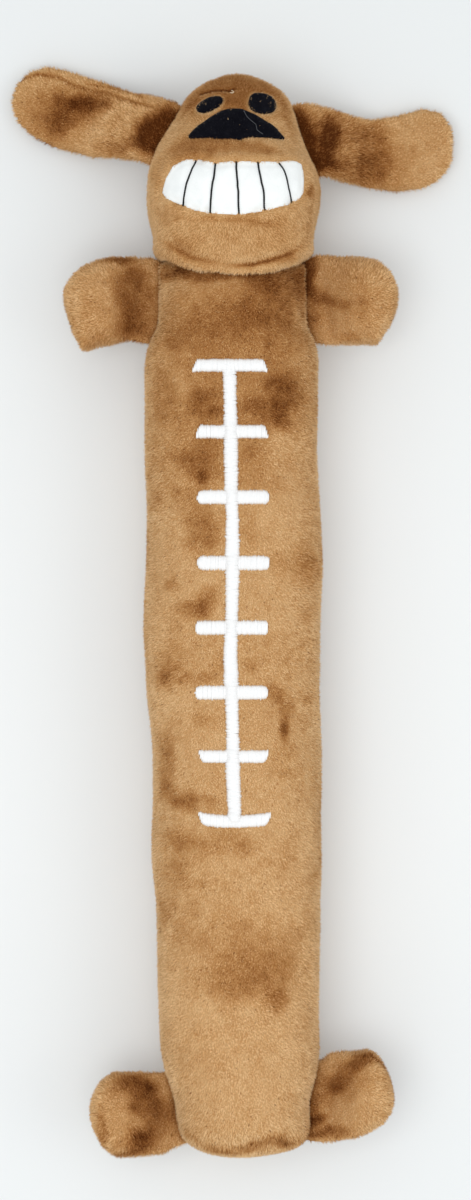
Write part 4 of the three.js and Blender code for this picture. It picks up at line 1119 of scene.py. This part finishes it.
def pull_and_fold(part, pad):
    """Draws a part's outline out or in, sinks its folds, and keeps it above the table."""
    place = points_of(pad)
    for x, y, across, along, reach in PULLS.get(part, []):
        share = near(np.hypot(place[:, 0] / MM - x, place[:, 1] / MM - y), reach) * MM
        place[:, 0] += across * share
        place[:, 1] += along * share
    set_points(pad, place)
    on_front = normals_of(pad)[:, 2] > 0
    groove = np.zeros(len(place))
    for line, depth, half_width, _ in FOLDS.get(part, []):
        groove += depth * near(line_distance(place, line)[0], half_width * MM) * on_front
    draw_in(pad, groove * MM)
    place = points_of(pad)
    place[:, 2] = np.maximum(place[:, 2], REST_Z)
    set_points(pad, place)
    shade_smooth(pad)


def shade_plush(part, pad):
    """Settles how dark the pile lies, with shade painted at seams, creases and folds, and how near a seam is,
    place by place, and sinks the plush at seams.
    """
    place = points_of(pad)
    on_face = (part == "head") & (place[:, 2] > FACE_MIN_Z)
    gap = np.full(len(place), SEAM_REACH)
    for sewn_on, (joined, middle, _) in SEAMS.items():
        if part in (sewn_on, joined):
            gap = np.minimum(gap, gap_to(place, trees[joined if part == sewn_on else sewn_on], middle))
    # the crease over the chin is painted dark, as the shade in its groove
    crease = near(line_distance(place, CHIN_CREASE)[0], 0.8 * MM) * crease_share(place) * on_face
    sewn = np.maximum(np.clip(1 - gap / SEAM_SHADE_REACH, 0, 1), 0.5 * crease)
    # the plush beside a seam is painted darker, as the shade where one part meets the other
    beside_painted_shade = BESIDE_SEAM_PAINTED_SHADE if part == "body" else BESIDE_LIMB_SEAM_PAINTED_SHADE
    painted_shade_beside = np.clip(1 - gap / BESIDE_SEAM_REACH, 0, 1) * beside_painted_shade
    draw_in(pad, SEAM_SINK * sewn * sewn * MM)
    nap_and_shade = np.maximum(nap_and_shade_of(part, place, normals_of(pad)), CREASE_PAINTED_SHADE * crease)
    for outline in eye_outlines.values():
        nap_and_shade *= 1 - 0.8 * near(outline_distance(place, outline), 0.6 * MM) * on_face
    on_front = normals_of(pad)[:, 2] > 0
    # each fold's groove is painted dark, as its shade
    for line, _, half_width, fold_shade in FOLDS.get(part, []):
        fold = near(line_distance(place, line)[0], half_width * MM) * on_front
        nap_and_shade = np.maximum(nap_and_shade, fold_shade * fold)
        sewn = np.maximum(sewn, 0.5 * fold)
    # shade is painted into the seams and beside them
    remember(pad, "nap_and_shade", np.clip(nap_and_shade + SEAM_PAINTED_SHADE * sewn + painted_shade_beside, 0, 1))
    remember(pad, "sewn", sewn)
    dress(pad, plush_ground, "brown_plush")


shape_body(pads["body"])
shape_head(pads["head"])
for part in SEAMS:
    shape_sewn_on(part, pads[part])
for part, pad in pads.items():
    pull_and_fold(part, pad)
trees = {part: tree_of(pad) for part, pad in pads.items()}
for part, pad in pads.items():
    shade_plush(part, pad)
skins = {part: tree_of(pads[part]) for part in ("body", "head")}


# Face


def cut_sheet(name, outline, cell):
    """A flat sheet of small squares, cut to an outline."""
    low, high = outline.min(0) - cell, outline.max(0) + cell
    size = high - low
    columns, rows = (round(side / cell) for side in size)
    bpy.ops.object.select_all(action="DESELECT")
    bpy.ops.mesh.primitive_grid_add(x_subdivisions=columns, y_subdivisions=rows, size=1)
    sheet = bpy.context.active_object
    sheet.name = sheet.data.name = name
    with editing():
        bpy.ops.transform.resize(value=(*size, 1))
        bpy.ops.transform.translate(value=(*((low + high) / 2), 0))
    outside = ~inside_outline(points_of(sheet), outline)
    with shape_of(sheet) as shape:
        bmesh.ops.delete(shape, geom=[v for v in shape.verts if outside[v.index]], context="VERTS")
        bmesh.ops.delete(shape, geom=[v for v in shape.verts if not v.link_faces], context="VERTS")
        for vert in shape.verts:
            if vert.is_boundary:
                vert.co.x, vert.co.y = nearest_on(outline, np.array(vert.co[:2]))
    return sheet


def lay_on(sheet, tree, lift):
    """Lays a flat sheet on a skin below it, lifted off it by lift at each point."""
    points = points_of(sheet)
    lifted = lift(points)
    laid = points.copy()
    for i, (x, y, _) in enumerate(points):
        place, normal = height_over(tree, x, y)
        if place is not None:
            laid[i] = np.array(place) + np.array(normal) * lifted[i]
    set_points(sheet, laid)


def thicken(sheet, thickness):
    change(sheet, "SOLIDIFY", thickness=thickness, offset=-1)
    shade_smooth(sheet)


def across_and_up(line, upward):
    """The ways across and up at each point of a line."""
    along = unit(np.gradient(line, axis=0))
    across = unit(np.cross(along, upward))
    return across, np.cross(across, along)


def tubes(name, lines, radius, sides=6):
    """Closed round threads along lines of points."""
    points, faces = [], []
    angle = 2 * np.pi * np.arange(sides) / sides
    for line in lines:
        line = np.asarray(line, float)
        across, up = across_and_up(line, (0.02, 0.03, 1.0))
        rings = (
            line[:, None]
            + across[:, None] * (np.cos(angle) * radius)[None, :, None]
            + up[:, None] * (np.sin(angle) * radius)[None, :, None]
        ).reshape(-1, 3)
        start = len(points)
        points.extend(rings.tolist())
        last = start + (len(line) - 1) * sides
        for ring in range(start, last, sides):
            for k in range(sides):
                n = (k + 1) % sides
                faces.append((ring + k, ring + sides + k, ring + sides + n, ring + n))
        faces.append(tuple(start + k for k in range(sides)))
        faces.append(tuple(last + k for k in reversed(range(sides))))
    piece = new_piece(name, points, faces)
    with shape_of(piece) as shape:
        bmesh.ops.recalc_face_normals(shape, faces=shape.faces)
    shade_smooth(piece)
    return piece


tooth_lines = [smooth_line(shares, TEETH_CENTRE, TEETH_HALF) for shares in TOOTH_LINES]


def tooth_lift(points):
    """The tooth panel swells between its stitched lines and sinks at its edge."""
    edge = -outline_distance(points, teeth_outline) / MM
    dips = np.zeros(len(points))
    for line in tooth_lines:
        dips = np.maximum(dips, near(line_distance(points, line / MM)[0], 0.8 * MM))
    crease = lumps(points, 3.2, 51, 0.16) + lumps(points, 1.1, 52, 0.05)
    return (0.15 + 0.85 * np.clip(edge / 2.4, -0.2, 1) - 0.42 * dips + crease) * MM


wide_outline = (np.array(TEETH_CENTRE) + np.array(TEETH_SHARES) * (np.array(TEETH_HALF) + 0.25)) * MM
teeth = cut_sheet("tooth_panel_cloth", wide_outline, 0.42 * MM)
lay_on(teeth, skins["head"], tooth_lift)
smooth_cloth(teeth, 4)
thicken(teeth, 0.6 * MM)
dress(teeth, tooth_cloth, "white_fabric", "head", "teeth_panel")
teeth_tree = tree_of(teeth)


def tooth_stitch(name, line, seed_height):
    """Two plies of black thread, twisted round each other, along a tooth line that wanders a little."""
    x, y = along_line(line, 120)
    wander = lumps(np.stack([x, y, np.full(len(x), seed_height)], 1), 1.3, 60, 0.22) * MM
    middle = []
    for px, py in zip(x + wander, y):
        spot = height_over(teeth_tree, px, py)[0]
        middle.append((px, py, spot.z if spot is not None else middle[-1][2]))
    middle = np.array(middle) + np.array((0, 0, 0.1 * MM))
    length = np.concatenate([[0], np.cumsum(np.linalg.norm(np.diff(middle, axis=0), axis=1))])
    across, up = across_and_up(middle, (0, 0, 1.0))
    plies = []
    for ply in (0, math.pi):
        turn = length / STITCH_TWIST * 2 * math.pi + ply
        offset = across * np.cos(turn)[:, None] + up * np.sin(turn)[:, None]
        plies.append(middle + offset * STITCH_PLY_OFFSET)
    return tubes(name, plies, STITCH_PLY_RADIUS)


for number, line in enumerate(tooth_lines, 1):
    stitch = tooth_stitch(f"tooth_line_{number}", line, number * MM)
    dress(stitch, stitch_thread, "black_thread", "head", f"tooth_stitch_{number}")


def felt_patch(name, outline, seed):
    sheet = cut_sheet(f"{name}_felt", outline, 0.3 * MM)

    def lift(points):
        edge = np.clip(-outline_distance(points, outline) / (1.0 * MM), 0, 1)
        return (0.30 + 0.45 * np.sqrt(edge) + lumps(points, 1.6, seed, 0.22)) * MM

    lay_on(sheet, skins["head"], lift)
    smooth_cloth(sheet, 2)
    thicken(sheet, 0.7 * MM)
    dress(sheet, felt, "black_felt", "head", f"{name}_patch")
    return sheet


# felt patch: its outline, the seed of its bumps, and what share of its fibres is pale lint
FELT_PATCHES = {
    "nose": (nose_outline, 71, 0.012),
    "left_eye": (eye_outlines["left_eye"], 72, 0.06),
    "right_eye": (eye_outlines["right_eye"], 73, 0.09),
}
felt_patches = {name: felt_patch(name, outline, seed) for name, (outline, seed, _) in FELT_PATCHES.items()}


def loose_thread(name, line, tree, lift, radius, colour):
    """A stray thread lying on the face."""
    x, y = (places * MM for places in along_line(line, 6 * len(line)))
    rows = [(px, py, height_over(tree, px, py)[0].z + lift) for px, py in zip(x, y)]
    thread = tubes(name, [rows], radius, 5)
    dress(thread, material(f"{name}_colour", colour, 0.9, sheen=0.2, specular=0.1), "white_thread", "head")


loose_thread("brow_thread", BROW_THREAD, skins["head"], 0.95 * MM, 0.13 * MM, (0.75, 0.62, 0.42))
nose_tree = tree_of(felt_patches["nose"])
loose_thread("nose_thread", NOSE_THREAD, nose_tree, 0.2 * MM, 0.07 * MM, (0.09, 0.095, 0.105))


# Lacing


def bar_half_length(bar, v):
    """Half length of a bar at v, from -1 on its foot side to 1 on its head side."""
    _, _, length, _, slant, roundness, _ = LACE_BARS[bar]
    trim = slant * (v + 1) / 2 if slant > 0 else -slant * (1 - v) / 2
    return length / 2 - trim - roundness * (1 - np.sqrt(np.maximum(1 - v * v, 0)))


def bar_sag(bar, u):
    """How far a bar's middle hangs below its ends."""
    _, _, length, _, _, _, sag = LACE_BARS[bar]
    return sag * ((2 * u / length) ** 2 - 0.5) * 2


def spine_middle(y):
    line = np.array(LACE_SPINE_LINE)
    return np.interp(y, line[:, 0], line[:, 1]) + 0.06


def lace_thread(a, b, rise, steps=9):
    """One stitch through the plush from a to b, arched over its padding; all in mm."""
    row = []
    for k in range(steps):
        t = k / (steps - 1)
        x, y = (a[0] + (b[0] - a[0]) * t) * MM, (a[1] + (b[1] - a[1]) * t) * MM
        arch = max(1 - abs(2 * t - 1) ** 2.6, 0) ** 0.6
        height = (-LACE_SINK + (rise + LACE_SINK) * arch) * MM
        row.append((x, y, height_over(skins["body"], x, y)[0].z + height))
    return row


def bar_threads(bar, random):
    x, y, length, width, _, _, _ = LACE_BARS[bar]
    half = width / 2
    levels = np.linspace(-1, 1, 41)
    lengths = bar_half_length(bar, levels)
    rows = []
    for u in np.arange(-length / 2 + 0.1, length / 2, LACE_PITCH):
        open_levels = levels[lengths >= abs(u)]
        if len(open_levels) < 4:
            continue
        low, high = open_levels.min() * half, open_levels.max() * half
        rise = LACE_BAR_RISE * min(1, 0.35 + (high - low) / width * 0.75)
        middle = y + bar_sag(bar, u)
        sideways, under, over = random.normal(0, 0.11, 3)
        at = x + u + sideways * 0.2
        foot_end, head_end = middle + low - abs(under), middle + high + abs(over)
        rows.append(lace_thread((at, foot_end), (at + 0.08, head_end), rise))
    return rows


def spine_threads(random):
    rows = []
    for y in np.arange(SPINE_END_Y, SPINE_TOP_Y, LACE_PITCH):
        middle = spine_middle(y)
        left, right = LACE_SPINE_WIDTH / 2 + 0.12 * math.sin(y * 0.21) + np.abs(random.normal(0, 0.15, 2))
        over = max(near(max(abs(y - bar[1]) - 1.0, 0), 1.0) for bar in LACE_BARS[1:])
        end = min(1, 0.4 + (SPINE_TOP_Y - y) * 0.35, 0.55 + (y - SPINE_END_Y) * 0.6)
        tilt = random.normal(0, 0.05)
        rise = (LACE_SPINE_RISE + LACE_OVER_BAR * over) * end
        rows.append(lace_thread((middle - left, y + tilt), (middle + right, y - tilt), rise))
    return rows


def lacing_distance(points):
    """How far points of the chest lie from the lacing's edge; negative under it."""
    x, y = points[:, 0] / MM, points[:, 1] / MM
    best = np.full(len(points), 99.0)
    for bar, (bx, by, _, width, _, _, _) in enumerate(LACE_BARS):
        from_middle = y - by - bar_sag(bar, x - bx)
        half = bar_half_length(bar, np.clip(from_middle / (width / 2), -1, 1))
        best = np.minimum(best, np.maximum(np.abs(from_middle) - width / 2, np.abs(x - bx) - half))
    along = np.maximum(y - SPINE_TOP_Y, SPINE_END_Y - y)
    best = np.minimum(best, np.maximum(np.abs(x - spine_middle(y)) - LACE_SPINE_WIDTH / 2, along))
    return np.where(points[:, 2] > BODY_MIDDLE_Z, best, 99.0) * MM


def sew_lacing(node, threads):
    dress(tubes(f"{node}_thread", threads, LACE_THREAD_RADIUS), satin_thread, "white_thread", "body", node)


lace_random = np.random.default_rng(5)
for bar in range(len(LACE_BARS)):
    sew_lacing(f"lace_bar_{bar + 1}", bar_threads(bar, lace_random))
sew_lacing("lace_spine", spine_threads(lace_random))


# Pile on the parts


def front_or_back(place):
    return np.where(place[:, 2] > 8 * MM, PILE_PER_MM2, BACK_PILE_PER_MM2)


def towards(distance, place):
    """The distance at each place, and the way in which it falls off fastest, in the picture plane."""
    step = 0.05 * MM
    here = distance(place)
    fall = np.zeros(place.shape)
    for axis in (0, 1):
        moved = place.copy()
        moved[:, axis] += step
        fall[:, axis] = here - distance(moved)
    return here, unit(fall)


def over_edges(way, distance, place, seed):
    """Turns most tufts beside a sewn edge so that they lean over it."""
    here, inward = towards(distance, place)
    leaning = (here < EDGE_PILE_REACH) & (np.random.default_rng(seed).random(len(place)) < EDGE_PILE_SHARE)
    return np.where(leaning[:, None], inward + 0.35 * way, way)


def body_way(place):
    return over_edges(np.broadcast_to(np.array((0.12, -1.0, 0.0)), place.shape), lacing_distance, place, 7)


def face_distance(points):
    """How far points of the face lie from the edge of the teeth, the nose or an eye."""
    far = np.full(len(points), 9 * MM)
    face = points[:, 2] > FACE_MIN_Z
    for outline in face_outlines:
        far[face] = np.minimum(far[face], outline_distance(points[face], outline))
    return far


def head_way(place):
    """The head's pile runs from the crown down the face, and out to the sides."""
    way = np.stack([place[:, 0] / (40 * MM), np.full(len(place), -1.0), np.zeros(len(place))], 1)
    return over_edges(way, face_distance, place, 8)


def near_seam(spots, part):
    return np.linalg.norm(spots[0] - np.array(SEAMS[part][1]) * MM, axis=1) < HIDDEN_REACH


def under(spots, close, tree, lift):
    """Which of the close spots lie under another part's skin when lifted off their own."""
    place, normal, *_ = spots
    hidden = np.zeros(len(place), bool)
    hidden[close] = inside(place[close] + normal[close] * lift, tree)
    return hidden


def grow(name, spots, way, random, body=None, **look):
    """A piece of brown pile, which rides on the body if one is named."""
    piece = pile(name, spots, way, random, **look)
    if body:
        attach(piece, body)
    return piece


body_random = np.random.default_rng(101)
spots = scatter(pads["body"], front_or_back, body_random)
hidden = under(spots, spots[0][:, 1] > NECK_LINE_Y - 12 * MM, skins["head"], 0.4 * MM)
for limb in LIMBS:
    hidden |= under(spots, near_seam(spots, limb), trees[limb], 0.3 * MM)
spots = picked(spots, (lacing_distance(spots[0]) > -0.1 * MM) & ~hidden)
height, facing = spots[0][:, 1] / MM, spots[1][:, 2] > 0
for name, mask in (
    ("chest_pile", (height > CHEST_PILE_END_Y) & facing),
    ("waist_pile", (height <= CHEST_PILE_END_Y) & (height > WAIST_PILE_END_Y) & facing),
    ("belly_pile", (height <= WAIST_PILE_END_Y) & facing),
    ("upper_back_pile", (height > UPPER_BACK_PILE_END_Y) & ~facing),
    ("lower_back_pile", (height <= UPPER_BACK_PILE_END_Y) & ~facing),
):
    grow(name, picked(spots, mask), body_way(spots[0][mask]), body_random, "body")

head_random = np.random.default_rng(102)
spots = scatter(pads["head"], front_or_back, head_random)
bare = outline_distance(spots[0], teeth_outline) < -0.1 * MM
for outline in (nose_outline, *eye_outlines.values()):
    bare |= outline_distance(spots[0], outline) < -0.15 * MM
hidden = bare & (spots[0][:, 2] > FACE_MIN_Z)
hidden |= under(spots, np.ones(len(hidden), bool), skins["body"], 0.4 * MM)
for ear in EARS:
    hidden |= under(spots, near_seam(spots, ear), trees[ear], 0.3 * MM)
spots = picked(spots, ~hidden)
facing = spots[0][:, 2] > 24 * MM
for name, mask in (("face_pile", facing), ("head_back_pile", ~facing)):
    look = {"length": HEAD_PILE_LENGTH, "mottle": 0.45}
    grow(name, picked(spots, mask), head_way(spots[0][mask]), head_random, "head", **look)

fibre_random = np.random.default_rng(103)
for name, (outline, _, lint_share) in FELT_PATCHES.items():
    sheet = felt_patches[name]
    remember(sheet, "nap_and_shade", np.zeros(len(sheet.data.vertices)))
    remember(sheet, "sewn", np.zeros(len(sheet.data.vertices)))
    spots = scatter(sheet, lambda place: np.full(len(place), FELT_FIBRES_PER_MM2), fibre_random)
    by_edge = near(outline_distance(spots[0], outline), 0.7 * MM)
    kept = (spots[1][:, 2] > 0.2) & (fibre_random.random(len(by_edge)) < 0.25 + by_edge)
    place, normal, _, sewn = picked(spots, kept)
    lint = (fibre_random.random(len(place)) < lint_share).astype(float)
    way = -towards(lambda points: outline_distance(points, outline), place)[1]
    look = {"length": FELT_FIBRE_LENGTH, "width": FELT_FIBRE_WIDTH, "lean": FELT_FIBRE_LEAN}
    shades = [black_pile_material, pile_materials[0]]
    fibres = pile(f"{name}_fibres", (place, normal, lint, sewn), way, fibre_random, shades=shades, **look)
    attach(fibres, "head")

for number, (part, (joined, middle, outward)) in enumerate(SEAMS.items()):
    random = np.random.default_rng(110 + number)
    spots = scatter(pads[part], front_or_back, random)
    hidden = under(spots, near_seam(spots, part), skins[joined], 0.3 * MM)
    look = {"length": LIMB_PILE_LENGTH, "mottle": 0.85}
    piece = grow(f"{part}_pile", picked(spots, ~hidden), outward, random, **look)
    for sewn in (pads[part], piece):
        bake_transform(sewn)

for part in ("body", "head"):
    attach(pads[part], part)
for part, (_, nodes) in PARTS.items():
    front_panel, back_panel, *_ = nodes
    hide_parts(front_panel, back_panel)

plastics = {
    "squeaker_bulb": squeaker_plastic,
    "squeaker_valve": valve_plastic,
    "squeaker_reed": valve_plastic,
}
for node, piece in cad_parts.items():
    if "stuffing" in node or node in plastics:
        piece.data.materials.clear()
        piece.data.materials.append(plastics.get(node, fibrefill))


# Table, light and camera

bpy.ops.object.select_all(action="DESELECT")
bpy.ops.mesh.primitive_plane_add(size=8, location=(0, 0, -0.2 * MM))
table = bpy.context.active_object
table.name = "table"
table_paper = material("table_paper", (0.775, 0.792, 0.797), 0.9, specular=0.05)
nodes = Nodes(table_paper)
fibres = nodes.grain(nodes.place(), 900, 3.0)
# the paper is painted lighter near the toy and darker further out, a painted pool of light, with its fibres
# mixed in
painted_light_pool = nodes.add("ShaderNodeTexGradient", gradient_type="SPHERICAL")
spread = nodes.add("ShaderNodeVectorMath", operation="SCALE")
spread.inputs["Scale"].default_value = 1 / TABLE_LIGHT_POOL_REACH
nodes.link(nodes.place(), spread.inputs[0])
nodes.link(spread.outputs["Vector"], painted_light_pool.inputs["Vector"])
value = nodes.math("ADD", painted_light_pool.outputs["Fac"], nodes.math("MULTIPLY", fibres, 0.03))
nodes.show(nodes.ramp(value, [(0.45, (0.69, 0.718, 0.727)), (0.85, (0.764, 0.79, 0.799))]), "Base Color")
nodes.rough(fibres, 0.88, 0.94)
nodes.shader.inputs["Emission Color"].default_value = (1, 1, 1, 1)
nodes.shader.inputs["Emission Strength"].default_value = TABLE_GLOW
table.data.materials.append(table_paper)

world = bpy.data.worlds.new("soft_room")
bpy.context.scene.world = world
world.use_nodes = True
room = world.node_tree.nodes["Background"]
room.inputs["Color"].default_value = (0.99, 1.0, 1.0, 1)
room.inputs["Strength"].default_value = ROOM_LIGHT


def softbox(name, place, target, size, power):
    light = bpy.data.lights.new(name, "AREA")
    light.shape = "RECTANGLE"
    light.size = light.size_y = size
    light.energy = power
    box = new_object(name, light)
    box.location = place
    box.rotation_euler = (Vector(target) - Vector(place)).to_track_quat("-Z", "Y").to_euler()


softbox("softbox_over", (-0.16, -0.1, 0.95), (0, -0.02, 0), 0.6, 2.9)
softbox("softbox_side", (0.9, -0.2, 0.9), (0, 0, 0.02), 0.7, 1.5)

camera = bpy.data.cameras.new("camera")
camera.sensor_width = SENSOR_WIDTH
camera.lens = SENSOR_WIDTH * CAMERA_PLACE[2] / VIEW_WIDTH
camera.clip_start, camera.clip_end = 0.05, 20
view = new_object("camera", camera)
view.location = CAMERA_PLACE
view.rotation_euler = (0, 0, 0)
bpy.context.scene.camera = view
bpy.context.scene.view_settings.view_transform = "Standard"
